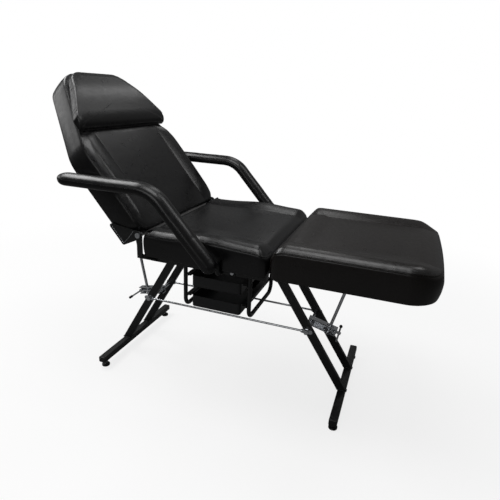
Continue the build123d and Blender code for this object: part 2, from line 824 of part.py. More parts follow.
def make_clamp(plane, offset, end_sign):
    """A channel welded to a sleeve on the cross rod, with a slot for the strut in each flange."""
    with BuildPart() as clamp:
        length = clamp_reach + clamp_back
        middle = (clamp_reach - clamp_back) / 2
        web_side = end_sign * clamp_half_width
        with BuildSketch(plane.offset(-clamp_half_width)):
            with Locations((middle, 0)):
                Rectangle(length, clamp_height)
        extrude(amount=2 * clamp_half_width)
        with BuildSketch(plane.offset(-web_side)):
            with Locations((middle, 0)):
                Rectangle(length + 2 * cut, clamp_height - 2 * clamp_wall)
        extrude(amount=end_sign * (2 * clamp_half_width - clamp_wall), mode=Mode.SUBTRACT)
        sleeve_plane = plane.offset(-clamp_boss_length / 2)
        extrude(circles(sleeve_plane, [(0, 0)], clamp_boss_diameter), amount=clamp_boss_length)
        rod_hole = circles(sleeve_plane, [(0, 0)], cross_rod_diameter + 2 * running_gap)
        extrude(rod_hole, amount=clamp_boss_length, mode=Mode.SUBTRACT)
        slot_foot = plane.from_local_coords((offset, -clamp_height / 2, 0))
        with BuildSketch(Plane(origin=slot_foot, x_dir=plane.x_dir, z_dir=plane.y_dir)):
            SlotOverall(strut_diameter + 2 * slot_travel, strut_diameter + 2 * slot_side_gap)
        extrude(amount=clamp_height, mode=Mode.SUBTRACT)
        pin_hole = circles(plane.offset(web_side), [(lever_pin_along, 0)], lever_pin_diameter)
        extrude(pin_hole, amount=-end_sign * clamp_wall, mode=Mode.SUBTRACT)
    return clamp


def make_lever_pin(plane, end_sign):
    """The pin in the clamp's web that the lock lever turns on, with a head at its free end."""
    web_side = end_sign * clamp_half_width
    free_side = -end_sign * (clamp_half_width + side_gap)
    with BuildPart() as pin:
        for start, end, diameter in (
            (web_side, free_side, lever_pin_diameter),
            (free_side, free_side - end_sign * pin_head_height, pin_head_diameter),
        ):
            extrude(circles(plane.offset(start), [(lever_pin_along, 0)], diameter), amount=end - start)
    return pin


def handle_place(plane, from_pin):
    """A place on a lock lever's handle, given from the lever's pin."""
    return plane.from_local_coords((lever_pin_along + from_pin[0], from_pin[1], 0))


def make_lever(plane, offset, end_sign, handle_start, handle_end):
    """A hub on the pin, a slotted lock plate round the strut and a round handle."""
    web_face = end_sign * (clamp_half_width - clamp_wall)
    free_side = -end_sign * clamp_half_width
    spring_room = spring_turns * spring_pitch + spring_wire + 2 * spring_end_gap
    hub_start = web_face - end_sign * spring_room
    plate_start = web_face - end_sign * side_gap
    slot_half = strut_diameter / 2 + lock_slot_gap
    with BuildPart() as lever:
        with BuildSketch(plane.offset(plate_start)):
            with Locations((offset + (lock_plate_outer - lock_plate_inner) / 2, 0)):
                Rectangle(lock_plate_inner + lock_plate_outer, lock_plate_thickness)
        extrude(amount=free_side - plate_start)
        with BuildSketch(plane.offset(-slot_half)):
            with Locations((offset + lock_slot_outer - lock_slot_length / 2, 0)):
                Rectangle(lock_slot_length, lock_plate_thickness)
        extrude(amount=2 * slot_half, mode=Mode.SUBTRACT)
        with BuildSketch(plane.offset(hub_start)):
            with Locations((lever_pin_along, 0)):
                Circle(lever_hub_diameter / 2)
            with Locations(((offset + lock_slot_outer + lever_pin_along) / 2, 0)):
                Rectangle(lever_pin_along - offset - lock_slot_outer, lock_plate_thickness)
        extrude(amount=free_side - hub_start)
        handle_from = handle_place(plane, handle_start)
        handle_to = handle_place(plane, handle_end)
        with BuildSketch(Plane(origin=handle_from, z_dir=handle_to - handle_from)):
            Circle(lever_rod_diameter / 2)
        extrude(amount=(handle_to - handle_from).length)
        with BuildSketch(plane.offset(-lever_rod_diameter / 2)):
            with Locations((lever_pin_along + handle_start[0] / 2, 0)):
                Rectangle(handle_start[0] + lever_rod_diameter, lever_link_width)
        extrude(amount=lever_rod_diameter)
        pin_hole = circles(
            plane.offset(hub_start), [(lever_pin_along, 0)], lever_pin_diameter + 2 * running_gap
        )
        extrude(pin_hole, amount=free_side - hub_start, mode=Mode.SUBTRACT)
    return lever


def spring_point(turn):
    """Place on the lock spring's wire, in turns from its start."""
    angle = math.tau * turn
    return Vector(spring_radius * math.cos(angle), spring_radius * math.sin(angle), spring_pitch * turn)


def spring_heading(turn):
    """Direction of the lock spring's wire."""
    angle = math.tau * turn
    climb = spring_pitch / math.tau
    return Vector(-spring_radius * math.sin(angle), spring_radius * math.cos(angle), climb).normalized()


def arc_middle(start, corner, end):
    """Middle of the arc that leaves start and meets end along the lines to their corner."""
    chord_middle = (start + end) / 2
    half_turn = math.atan2((corner - chord_middle).length, (end - start).length / 2)
    return chord_middle + (corner - chord_middle) * math.tan(half_turn / 2) / math.tan(half_turn)


def make_lock_spring(plane, end_sign):
    """A torsion spring round the lever pin, swept on two arcs for each quarter turn."""
    first = end_sign * (clamp_half_width - clamp_wall - spring_end_gap - spring_wire / 2)
    centre = plane.from_local_coords((lever_pin_along, 0, first))
    coil_plane = Plane(origin=centre, x_dir=plane.x_dir, z_dir=-end_sign * plane.z_dir)
    with BuildPart() as spring:
        with BuildLine() as wire:
            for quarter in range(4 * spring_turns):
                p0, p1 = spring_point(quarter / 4), spring_point((quarter + 1) / 4)
                t0, t1 = spring_heading(quarter / 4), spring_heading((quarter + 1) / 4)
                chord = p1 - p0
                turning = 2 * (1 - t0.dot(t1))
                along = chord.dot(t0 + t1)
                reach = (math.sqrt(along**2 + turning * chord.dot(chord)) - along) / turning
                corner0, corner1 = p0 + reach * t0, p1 - reach * t1
                joint = (corner0 + corner1) / 2
                for start, corner, end in ((p0, corner0, joint), (joint, corner1, p1)):
                    places = (start, arc_middle(start, corner, end), end)
                    ThreePointArc(*[coil_plane.from_local_coords(place) for place in places])
        start = coil_plane.from_local_coords(spring_point(0))
        ahead = coil_plane.from_local_coords(spring_point(0) + spring_heading(0))
        with BuildSketch(Plane(origin=start, z_dir=ahead - start)):
            Circle(spring_wire / 2)
        sweep(path=wire.wires()[0])
    return spring


for frame, offset, strut_name, end_name, end_sign, handle_start, handle_end in strut_sets:
    plane, pin_height, tilt = frame
    save(make_strut(plane, pin_height, offset), f"{strut_name}_strut")
    save(make_strut_pin(plane, pin_height, offset), f"{strut_name}_strut_pin")
    save(make_clamp(plane, offset, end_sign), f"{end_name}_clamp")
    save(make_lever_pin(plane, end_sign), f"{end_name}_lever_pin")
    save(make_lever(plane, offset, end_sign, handle_start, handle_end), f"{end_name}_lock_lever")
    save(make_lock_spring(plane, end_sign), f"{end_name}_lock_spring")
    lever_pin_place = plane.from_local_coords((lever_pin_along, 0, 0))
    print(f"{strut_name} strut: tilt {tilt:.2f}, pin height {pin_height:.2f}")
    print(f"{end_name} lever pin: Y {lever_pin_place.Y:.3f}, Z {lever_pin_place.Z:.3f}")
print(f"back strut pin: Y {back_pin.Y:.3f}, Z {back_pin.Z:.3f}")

with BuildPart() as front_lever_knob:
    plane = front_frame[0]
    knob_centre = handle_place(plane, leg_lever_end)
    rod_foot = handle_place(plane, leg_lever_start)
    with Locations(knob_centre):
        Sphere(leg_knob_diameter / 2)
    with BuildSketch(Plane(origin=knob_centre, z_dir=rod_foot - knob_centre)):
        Circle(lever_rod_diameter / 2)
    extrude(amount=leg_knob_diameter, mode=Mode.SUBTRACT)
save(front_lever_knob, "front_lever_knob")

with BuildPart() as rear_lever_tip:
    plane = rear_frame[0]
    tip_seat = handle_place(plane, back_lever_end)
    rod_heading = (tip_seat - handle_place(plane, back_lever_start)).normalized()
    with BuildSketch(Plane(origin=tip_seat - tip_overlap * rod_heading, z_dir=rod_heading)):
        Circle(back_tip_diameter / 2)
    extrude(amount=back_tip_length)
    fillet(rear_lever_tip.edges().filter_by(GeomType.CIRCLE), radius=tip_edge)
    with BuildSketch(Plane(origin=tip_seat, z_dir=-rod_heading)):
        Circle(lever_rod_diameter / 2)
    extrude(amount=tip_overlap, mode=Mode.SUBTRACT)
save(rear_lever_tip, "rear_lever_tip")

steps_per_turn = 64
last_step = spring_turns * steps_per_turn
least_gap = min(
    (spring_point(i / steps_per_turn) - spring_point(k / steps_per_turn)).length - spring_wire
    for i in range(last_step + 1)
    for k in range(i + steps_per_turn // 2, last_step + 1)
)
print(f"lock spring: least gap between turns {least_gap:.2f}")


# Back hinges: a bracket on the seat frame and an arm on the back at each side
tab_top_z = cushion_base_height - soft_gap
arm_inner_x = half_width + hinge_gap
flange_thickness = back_board_base - back_tube_face - soft_gap
back_pivot = (back_hinge_y, back_hinge_z)

for side, side_name in SIDES:
    with BuildPart() as hinge_bracket:
        plate_plane = side_plane(side * (half_width - hinge_plate))
        with BuildSketch(plate_plane):
            with Locations(back_pivot):
                Circle(bracket_radius)
            web_middle_y = back_hinge_y - bracket_relief / 2
            with Locations((web_middle_y, (back_hinge_z + tab_top_z - hinge_plate) / 2)):
                Rectangle(2 * bracket_radius - bracket_relief, back_hinge_z - tab_top_z + hinge_plate)
        extrude(amount=side * hinge_plate)
        tab_end_y = back_hinge_y + bracket_radius - bracket_relief
        tab_middle_x = side * (outer_rail_face + half_width) / 2
        with BuildSketch(Plane.XY.offset(tab_top_z)):
            with Locations((tab_middle_x, (bracket_tab_start_y + tab_end_y) / 2)):
                Rectangle(half_width - outer_rail_face, tab_end_y - bracket_tab_start_y)
        extrude(amount=-hinge_plate)
        bolt_hole = circles(plate_plane, [back_pivot], hinge_bolt_diameter)
        extrude(bolt_hole, amount=side * hinge_plate, mode=Mode.SUBTRACT)
    save(hinge_bracket, f"back_hinge_bracket_{side_name}")

    with BuildPart() as hinge_arm:
        plate_depth = back_tube_face + arm_plate_corner
        plate_plane = back_side_plane(side * arm_inner_x)
        pivot_place = (hinge_in_back.Y, hinge_in_back.Z)
        with BuildSketch(plate_plane):
            with Locations(pivot_place):
                Circle(arm_plate_radius)
            with Locations(
                (arm_plate_start + arm_plate_corner, plate_depth),
                (arm_plate_length - arm_plate_corner, plate_depth),
            ):
                Circle(arm_plate_corner)
            make_hull()
        extrude(amount=side * hinge_plate)
        flange_start_x = back_rail_x + back_tube_width / 2 + arm_flange_gap
        flange_end_x = arm_inner_x + hinge_plate
        flange_middle = (side * (flange_start_x + flange_end_x) / 2, (arm_plate_start + arm_plate_length) / 2)
        flange_length = arm_plate_length - arm_plate_start - 2 * arm_plate_corner
        with BuildSketch(back_plane.offset(back_tube_face)):
            with Locations(flange_middle):
                Rectangle(flange_end_x - flange_start_x, flange_length)
        extrude(amount=flange_thickness)
        bolt_hole = circles(plate_plane, [pivot_place], hinge_bolt_diameter + 2 * running_gap)
        extrude(bolt_hole, amount=side * hinge_plate, mode=Mode.SUBTRACT)
    save(hinge_arm, f"back_hinge_arm_{side_name}")


# Leg rest hinges, under the inner rails of the seat frame
leg_pivot = (leg_hinge_y, leg_hinge_z)
leg_arm_inner = inner_rail_face + hinge_plate + hinge_gap
arm_hole_diameter = hinge_bolt_diameter + 2 * running_gap
leg_hinge_parts = (
    ("brackets", inner_rail_face, rail_start_y + leg_hinge_foot / 2, hinge_bolt_diameter),
    ("arms", leg_arm_inner, leg_rail_start_y - leg_hinge_foot / 2, arm_hole_diameter),
)

for part_name, inner_x, foot_y, hole_diameter in leg_hinge_parts:
    with BuildPart() as leg_hinge_plates:
        for side, _ in SIDES:
            plate_plane = side_plane(side * inner_x)
            with BuildSketch(plate_plane):
                with Locations(leg_pivot):
                    Circle(leg_hinge_radius)
                with Locations((foot_y, (frame_bottom_z + tab_top_z) / 2)):
                    Rectangle(leg_hinge_foot, tab_top_z - frame_bottom_z)
                make_hull()
            extrude(amount=side * hinge_plate)
            bolt_hole = circles(plate_plane, [leg_pivot], hole_diameter)
            extrude(bolt_hole, amount=side * hinge_plate, mode=Mode.SUBTRACT)
    save(leg_hinge_plates, f"leg_hinge_{part_name}")


# Bolts and nuts of all four hinges, with the bolt heads outside the moving plates
hinge_stacks = (
    (back_pivot, half_width - hinge_plate, arm_inner_x + hinge_plate + side_gap),
    (leg_pivot, inner_rail_face, leg_arm_inner + hinge_plate + side_gap),
)

with BuildPart() as hinge_bolts:
    for pivot, fixed_face, head_face in hinge_stacks:
        for side, _ in SIDES:
            head_plane = side_plane(side * head_face)
            extrude(circles(head_plane, [pivot], bolt_head_diameter), amount=side * bolt_head_height)
            shank = circles(head_plane, [pivot], hinge_bolt_diameter)
            extrude(shank, amount=-side * (head_face - fixed_face + hinge_nut_height))
save(hinge_bolts, "hinge_bolts")

with BuildPart() as hinge_nuts:
    for pivot, fixed_face, _ in hinge_stacks:
        for side, _ in SIDES:
            with BuildSketch(side_plane(side * fixed_face)):
                with Locations(pivot):
                    RegularPolygon(hinge_nut_width / 2, side_count=6, major_radius=False)
                    Circle(hinge_bolt_diameter / 2, mode=Mode.SUBTRACT)
            extrude(amount=-side * hinge_nut_height)
save(hinge_nuts, "hinge_nuts")


# Tray carrier hoops, runners and trays
carrier_places = (("rear", carrier_rear_y), ("front", carrier_front_y))
for carrier_name, carrier_y in carrier_places:
    with BuildPart() as carrier:
        with BuildLine() as hoop:
            FilletPolyline(
                (-tray_rail_x, carrier_y, frame_bottom_z),
                (-tray_rail_x, carrier_y, carrier_bottom_z),
                (tray_rail_x, carrier_y, carrier_bottom_z),
                (tray_rail_x, carrier_y, frame_bottom_z),
                radius=carrier_bend,
            )
        with BuildSketch(Plane(origin=(-tray_rail_x, carrier_y, frame_bottom_z), z_dir=(0, 0, -1))):
            Circle(carrier_tube / 2)
            Circle(carrier_tube / 2 - carrier_wall, mode=Mode.SUBTRACT)
        sweep(path=hoop.wires()[0])
    save(carrier, f"{carrier_name}_tray_hoop")

tray_middle_y = (carrier_front_y + carrier_rear_y) / 2
web_outer = (carrier_rear_y - carrier_front_y) / 2 - carrier_tube / 2
runner_half_length = tray_rail_x + carrier_tube / 2

tray_levels = (("upper", upper_rim_z), ("lower", lower_rim_z))

with BuildPart() as tray_runners:
    for _, rim_z in tray_levels:
        for side in (REAR, FRONT):
            groove_top = rim_z + slide_gap
            groove_bottom = rim_z - tray_wall - slide_gap
            web_y = tray_middle_y + side * (web_outer - runner_thickness / 2)
            lip_y = tray_middle_y + side * (web_outer - runner_reach / 2)
            upper_lip_z = groove_top + runner_thickness / 2
            lower_lip_z = groove_bottom - runner_thickness / 2
            with BuildSketch(side_plane(-runner_half_length)):
                with Locations((web_y, groove_top + runner_thickness - runner_height / 2)):
                    Rectangle(runner_thickness, runner_height)
                with Locations((lip_y, upper_lip_z), (lip_y, lower_lip_z)):
                    Rectangle(runner_reach, runner_thickness)
            extrude(amount=2 * runner_half_length)
save(tray_runners, "tray_runners")

for level_name, rim_z in tray_levels:
    with BuildPart() as tray:
        tray_base_z = rim_z - tray_height
        with BuildSketch(Plane.XY.offset(tray_base_z)):
            with Locations((0, tray_middle_y)):
                RectangleRounded(tray_length, tray_width, tray_corner)
        extrude(amount=tray_height)
        fillet(tray.faces().sort_by(Axis.Z)[0].edges(), radius=tray_base_edge)
        with BuildSketch(Plane.XY.offset(rim_z - tray_wall)):
            with Locations((0, tray_middle_y)):
                Rectangle(tray_length - 2 * tray_corner, tray_width + 2 * tray_flange)
        extrude(amount=tray_wall)
        inside_length = tray_length - 2 * tray_wall
        inside_width = tray_width - 2 * tray_wall
        with BuildSketch(Plane.XY.offset(tray_base_z + tray_wall)):
            with Locations((0, tray_middle_y)):
                RectangleRounded(inside_length, inside_width, tray_corner - tray_wall)
        extrude(amount=tray_height, mode=Mode.SUBTRACT)
    save(tray, f"{level_name}_tray")


# Armrests: a padded arm, its steel support and the bolts to the seat frame
arm_flange_face = outer_rail_face + arm_flange_thickness
arm_pad_ends = [(arm_tip_y, arm_level_z), (arm_end_y, arm_end_z)]
arm_bolt_places = [(arm_end_y + step * arm_bolt_spacing / 2, frame_z) for step in (-1, 1)]


def arm_strip(x, width):
    """A strip of the given width along the arm's bent route, seen from the side."""
    with BuildSketch(side_plane(x)) as strip:
        with BuildLine():
            FilletPolyline(
                (arm_tip_y, arm_level_z),
                (arm_bend_y, arm_level_z),
                (arm_end_y, arm_end_z),
                radius=arm_bend_radius,
            )
        trace(line_width=width)
    return strip.sketch


for side, side_name in SIDES:
    with BuildPart() as arm_support:
        extrude(arm_strip(side * arm_x, arm_core_thickness), amount=arm_core_width / 2, both=True)
        with BuildLine() as tube_route:
            FilletPolyline(
                (side * arm_x, arm_end_y, arm_end_z),
                (side * arm_elbow_x, arm_end_y, arm_end_z),
                (side * arm_elbow_x, arm_end_y, frame_z),
                (side * arm_flange_face, arm_end_y, frame_z),
                radius=arm_tube_bend,
            )
        with BuildSketch(Plane(origin=(side * arm_x, arm_end_y, arm_end_z), z_dir=(-side, 0, 0))):
            Circle(arm_tube / 2)
        sweep(path=tube_route.wires()[0])
        with BuildSketch(side_plane(side * outer_rail_face)):
            with Locations((arm_end_y, frame_z)):
                Rectangle(arm_flange_length, arm_flange_height)
            with Locations(*arm_bolt_places):
                Circle(arm_bolt_diameter / 2, mode=Mode.SUBTRACT)
        extrude(amount=side * arm_flange_thickness)
    save(arm_support, f"arm_support_{side_name}")

    with BuildPart() as arm_pad:
        extrude(arm_strip(side * arm_x, arm_height), amount=arm_width / 2, both=True)
        ends = circles(side_plane(side * arm_x), arm_pad_ends, arm_height)
        extrude(ends, amount=arm_width / 2, both=True)
        pad_sides = arm_pad.faces().filter_by(Axis.X)
        fillet(pad_sides.edges(), radius=arm_rounding)
        add(arm_support.part, mode=Mode.SUBTRACT)
    save(arm_pad, f"arm_pad_{side_name}")

with BuildPart() as arm_bolts:
    for side, _ in SIDES:
        heads = circles(side_plane(side * arm_flange_face), arm_bolt_places, arm_bolt_head_diameter)
        extrude(heads, amount=side * arm_bolt_head_height)
        shanks = circles(side_plane(side * arm_flange_face), arm_bolt_places, arm_bolt_diameter)
        extrude(shanks, amount=-side * (arm_flange_thickness + tube_wall))
save(arm_bolts, "arm_bolts")
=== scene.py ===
"""Looks of the tattoo chair: upholstery, finishes, small fittings and the studio."""
import json
import math

import bpy
import numpy as np
from bpy.props import FloatProperty, IntProperty, PointerProperty, StringProperty
from mathutils import Matrix


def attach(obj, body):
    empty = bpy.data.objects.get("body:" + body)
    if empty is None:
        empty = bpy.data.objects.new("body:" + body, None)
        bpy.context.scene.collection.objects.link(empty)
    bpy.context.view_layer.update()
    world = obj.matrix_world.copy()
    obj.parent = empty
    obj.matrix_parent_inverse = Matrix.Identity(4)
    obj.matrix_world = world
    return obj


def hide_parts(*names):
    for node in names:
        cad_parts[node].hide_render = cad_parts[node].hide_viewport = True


bl_info = {
    "name": "Tattoo Chair",
    "version": (1, 0, 0),
    "blender": (4, 5, 0),
    "location": "View3D > Sidebar > Tattoo Chair",
    "description": "Upholstery, finishes, fittings and studio of an adjustable tattoo chair",
    "category": "Add Mesh",
}

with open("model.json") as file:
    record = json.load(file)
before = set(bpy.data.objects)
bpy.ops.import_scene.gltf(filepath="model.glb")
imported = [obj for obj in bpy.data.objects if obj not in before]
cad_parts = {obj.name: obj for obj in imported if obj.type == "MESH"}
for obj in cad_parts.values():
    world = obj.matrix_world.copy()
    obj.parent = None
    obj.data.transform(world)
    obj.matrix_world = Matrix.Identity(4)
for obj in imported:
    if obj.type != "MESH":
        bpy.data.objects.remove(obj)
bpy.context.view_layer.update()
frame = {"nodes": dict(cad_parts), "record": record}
NODES = frame["nodes"]

# Sizes in millimetres that the CAD frame fixes
HALF_WIDTH = 300.0
SEAT_BASE = 540.0
SEAT_FRONT, SEAT_REAR, SEAT_SIDE = -212.0, 235.0, 80.0
LEG_START, LEG_END, LEG_SIDE = -216.0, -720.0, 92.0
BACK_LENGTH, BACK_SHOULDER, BACK_HEAD_HALF, BACK_SIDE = 657.0, 338.0, 142.0, 88.0
BACK_START = (0.0, 241.0, 632.0)
BACK_LEAN = math.radians(39.8)
BOARD_RIM = 12.3
PILLOW_SEAT = 8.3
PILLOW_NECK, PILLOW_SHOULDER, PILLOW_HEAD = 404.0, 442.0, 636.0
PILLOW_HALF, PILLOW_HEAD_HALF = 274.0, 138.0
PILLOW_MIDDLE = (0.0, 505.0)
ARM_X = 357.0
ARM_ROUTE = ((513.0, 801.0), (160.0, 801.0), (-47.0, 574.0))
ARM_BEND = 118.0
HINGE_EDGE_X = 305.2
HINGE_EDGE = ((20.4, -22.0), (12.0, -60.0), (9.2, -82.0), (14.0, -84.8), (80.0, -84.8))
FOOT_X, REAR_FOOT_Y, FRONT_FOOT_Y = 241.0, 478.0, -474.0
STAND_LEG_X, REAR_LEG_TOP_Y, FRONT_LEG_TOP_Y = 80.0, 207.0, -162.0
STAND_LEG_HALF_WIDTH, STAND_LEG_HALF_THICKNESS = 15.0, 7.5
FOOT_BAR_TOP, SEAT_FRAME_UNDERSIDE = 50.0, 520.0
HOOP_X, REAR_HOOP_Y, FRONT_HOOP_Y, HOOP_RADIUS = 138.0, 158.0, -105.0, 8.0

# The photograph's camera: its size and focal length in pixels, and its place and axes in metres
PHOTO_PIXELS = 500.0
FOCAL_PIXELS = 447.1
SENSOR_WIDTH = 36.0
CAMERA_SHIFT = (0.0012, -0.0002)
CAMERA_PLACE = (-1.5564, -0.5890, 1.1065)
CAMERA_AXES = ((0.3428, -0.9384, 0.0446), (0.301, 0.1547, 0.941), (-0.8899, -0.3091, 0.3355))

# Softboxes in metres: width and length, place, and the point that each one faces
SOFTBOXES = {
    "head": ((1.8, 1.2), (0.2, 2.0, 2.9), (0.0, 0.2, 0.7)),
    "far": ((0.7, 2.0), (1.75, 0.25, 3.0), (0.0, 0.0, 0.6)),
    "foot": ((0.8, 1.2), (1.1, -1.5, 3.0), (0.0, 0.2, 0.8)),
    "side": ((1.4, 1.0), (-0.3, 3.3, 1.8), (-0.2, 0.4, 0.9)),
    "top": ((1.3, 1.1), (-0.4, -0.1, 3.0), (-0.3, -0.1, 0.6)),
    "near": ((2.0, 1.2), (-2.7, 0.4, 2.0), (0.0, 0.0, 0.6)),
}


# Arrays and meshes
def unit(v):
    """Vectors divided by their own length."""
    return v / np.maximum(np.linalg.norm(v, axis=-1, keepdims=True), 1e-12)


def smooth(low, high, value):
    """Smooth step from 0 at low to 1 at high: 3q^2 - 2q^3 of the clipped share q."""
    q = np.clip((value - low) / (high - low), 0.0, 1.0)
    return q * q * (3.0 - 2.0 * q)


def resample(path, count, closed=True):
    """The same line with its points spread evenly by arc length."""
    line = np.vstack([path, path[:1]]) if closed else path
    run = np.concatenate([[0.0], np.cumsum(np.linalg.norm(np.diff(line, axis=0), axis=1))])
    want = np.linspace(0.0, run[-1], count, endpoint=not closed)
    return np.stack([np.interp(want, run, line[:, k]) for k in range(line.shape[1])], axis=1)


def rounded(corners, radii, closed=True, arc_points=24):
    """Straight runs with an arc in each corner: centre + r (cos a, sin a) between the tangent points."""
    corners = np.asarray(corners, float)
    parts = []
    for i, radius in enumerate(radii):
        here, before, after = corners[i], corners[i - 1], corners[(i + 1) % len(corners)]
        if radius == 0 or (not closed and i in (0, len(corners) - 1)):
            parts.append(here[None])
            continue
        a, b = unit(before - here), unit(after - here)
        half = math.acos(float(np.clip(a @ b, -1.0, 1.0))) / 2.0
        centre = here + unit(a + b) * radius / math.sin(half)
        start = here + a * radius / math.tan(half) - centre
        end = here + b * radius / math.tan(half) - centre
        turn = math.atan2(start[0] * end[1] - start[1] * end[0], start @ end)
        angle = math.atan2(start[1], start[0]) + turn * np.linspace(0.0, 1.0, arc_points)
        parts.append(centre + radius * np.stack([np.cos(angle), np.sin(angle)], axis=1))
    return np.concatenate(parts)


def plan(half, arc_points=24):
    """A closed outline from its corners on the +X side, lowest y first, each an x, y and radius. Their
    mirror images close it, anticlockwise."""
    mirrored = [(-x, y, radius) for x, y, radius in half]
    rows = [mirrored[0], *half, *mirrored[:0:-1]]
    return rounded([row[:2] for row in rows], [row[2] for row in rows], arc_points=arc_points)


def outward(loop):
    """Outward normals of a closed plan loop that runs anticlockwise."""
    along = unit(np.roll(loop, -1, axis=0) - np.roll(loop, 1, axis=0))
    return np.stack([along[:, 1], -along[:, 0]], axis=1)


def grid_faces(rows, columns, wrap_rows=False):
    """Quads of a rows x columns grid of points, closed round its columns, and round its rows where asked."""
    r = np.arange(rows if wrap_rows else rows - 1)[:, None]
    c = np.arange(columns)[None]
    r1, c1 = (r + 1) % rows, (c + 1) % columns
    corners = (r * columns + c, r * columns + c1, r1 * columns + c1, r1 * columns + c)
    return np.stack(corners, axis=-1).reshape(-1, 4)


def make_object(name, points, quads, triangles=None, attributes=None):
    """A smooth-shaded mesh object in metres from points in millimetres."""
    mesh = bpy.data.meshes.new(name)
    triangles = np.zeros((0, 3), int) if triangles is None else triangles
    mesh.vertices.add(len(points))
    mesh.vertices.foreach_set("co", (points * 0.001).astype(np.float32).ravel())
    mesh.loops.add(quads.size + triangles.size)
    corners = np.concatenate([quads.ravel(), triangles.ravel()])
    mesh.loops.foreach_set("vertex_index", corners.astype(np.int32))
    mesh.polygons.add(len(quads) + len(triangles))
    starts = np.concatenate([np.arange(len(quads)) * 4, quads.size + np.arange(len(triangles)) * 3])
    mesh.polygons.foreach_set("loop_start", starts.astype(np.int32))
    mesh.update(calc_edges=True)
    for key, values in (attributes or {}).items():
        layer = mesh.attributes.new(key, "FLOAT", "POINT")
        layer.data.foreach_set("value", values.astype(np.float32))
    mesh.shade_smooth()
    mesh.validate()
    made = bpy.data.objects.new(name, mesh)
    bpy.context.scene.collection.objects.link(made)
    return made


def shell(rings, low_pole, high_pole):
    """Points and faces of a stack of closed rings, lowest first, with a pole at each end."""
    count, around = rings.shape[:2]
    points = np.concatenate([rings.reshape(-1, 3), low_pole[None], high_pole[None]])
    quads = grid_faces(count, around)
    c = np.arange(around)
    c1 = (c + 1) % around
    low = np.stack([np.full(around, count * around), c1, c], axis=1)
    top = (count - 1) * around
    high = np.stack([np.full(around, count * around + 1), top + c, top + c1], axis=1)
    return points, quads, np.concatenate([low, high])


def ring_normals(rings):
    """Normals of a stack of rings: cross product of the steps round a ring and up the stack."""
    around = np.roll(rings, -1, axis=1) - np.roll(rings, 1, axis=1)
    up = np.gradient(rings, axis=0)
    return unit(np.cross(around, up))


def tube(path, radius, sides=8, closed=True):
    """Points and quads of a round tube: path + r (side cos a + up sin a), side and up square to the path."""
    if closed:
        along = unit(np.roll(path, -1, axis=0) - np.roll(path, 1, axis=0))
    else:
        along = unit(np.gradient(path, axis=0))
    steep = np.abs(along[:, 2]).max() >= 0.9
    guide = np.array([1.0, 0.017, 0.023] if steep else [0.013, 0.021, 1.0])
    side = unit(np.cross(along, guide))
    up = np.cross(side, along)
    angle = np.linspace(0.0, math.tau, sides, endpoint=False)[None, :, None]
    points = path[:, None] + radius * (side[:, None] * np.cos(angle) + up[:, None] * np.sin(angle))
    quads = grid_faces(len(path), sides, wrap_rows=closed)
    return points.reshape(-1, 3), quads[:, ::-1]


def stitches(path, away, spacing, length, radius, closed=True):
    """Short threads along a line: one ellipsoid per stitch, (a cos v, r sin v cos u, r sin v sin u)."""
    run = np.linalg.norm(np.diff(path, axis=0), axis=1).sum()
    count = max(4, int(run / spacing))
    both = resample(np.hstack([path, away]), count * 2, closed)
    at, out = both[::2, :3], unit(both[::2, 3:])
    along = unit(both[1::2, :3] - at)
    side = np.cross(along, out)
    rows, columns = 5, 6
    latitudes = np.linspace(0.0, math.pi, rows)
    longitudes = np.linspace(0.0, math.tau, columns, endpoint=False)
    v, u = np.meshgrid(latitudes, longitudes, indexing="ij")
    bead = np.stack([np.cos(v), np.sin(v) * np.cos(u), np.sin(v) * np.sin(u)], axis=-1).reshape(-1, 3)
    points = (
        at[:, None]
        + along[:, None] * bead[None, :, :1] * length / 2
        + side[:, None] * bead[None, :, 1:2] * radius
        + out[:, None] * bead[None, :, 2:] * radius
    )
    quads = grid_faces(rows, columns)[None] + (np.arange(len(at)) * len(bead))[:, None, None]
    return points.reshape(-1, 3), quads.reshape(-1, 4)


def joined(parts):
    """Several (points, quads) sets as one."""
    points, quads, start = [], [], 0
    for p, q in parts:
        points.append(p)
        quads.append(q + start)
        start += len(p)
    return np.concatenate(points), np.concatenate(quads)


def crease_depth(points, creases):
    """Depth of soft folds: sum of d exp(-(r/w)^2), r the distance to each fold's line, faded at its ends."""
    depth = np.zeros(len(points))
    for start, end, width, deep in creases:
        start, end = np.asarray(start, float), np.asarray(end, float)
        run = end - start
        share = np.clip((points - start) @ run / (run @ run), 0.0, 1.0)
        away = np.linalg.norm(points - start - share[:, None] * run, axis=1)
        fade = np.sin(math.pi * np.clip(share * 0.9 + 0.05, 0, 1)) ** 0.5
        depth += deep * np.exp(-((away / width) ** 2)) * fade
    return depth


# Materials
def linear(hex_colour):
    """sRGB hex to linear RGBA."""
    digits = hex_colour.lstrip("#")
    value = np.array([int(digits[i : i + 2], 16) for i in (0, 2, 4)]) / 255.0
    value = np.where(value <= 0.04045, value / 12.92, ((value + 0.055) / 1.055) ** 2.4)
    return (*[float(v) for v in value], 1.0)


def add_node(tree, kind, inputs=None, **settings):
    """One node: settings are its properties, inputs its sockets' values or the outputs linked to them."""
    made = tree.nodes.new(kind)
    for key, value in settings.items():
        setattr(made, key, value)
    for key, value in (inputs or {}).items():
        if isinstance(value, bpy.types.NodeSocket):
            tree.links.new(value, made.inputs[key])
        else:
            made.inputs[key].default_value = value
    return made


def blank_material(name):
    """A material with an empty tree, and its output node."""
    made = bpy.data.materials.new(name)
    made.use_nodes = True
    made.node_tree.nodes.clear()
    return made, made.node_tree, add_node(made.node_tree, "ShaderNodeOutputMaterial")


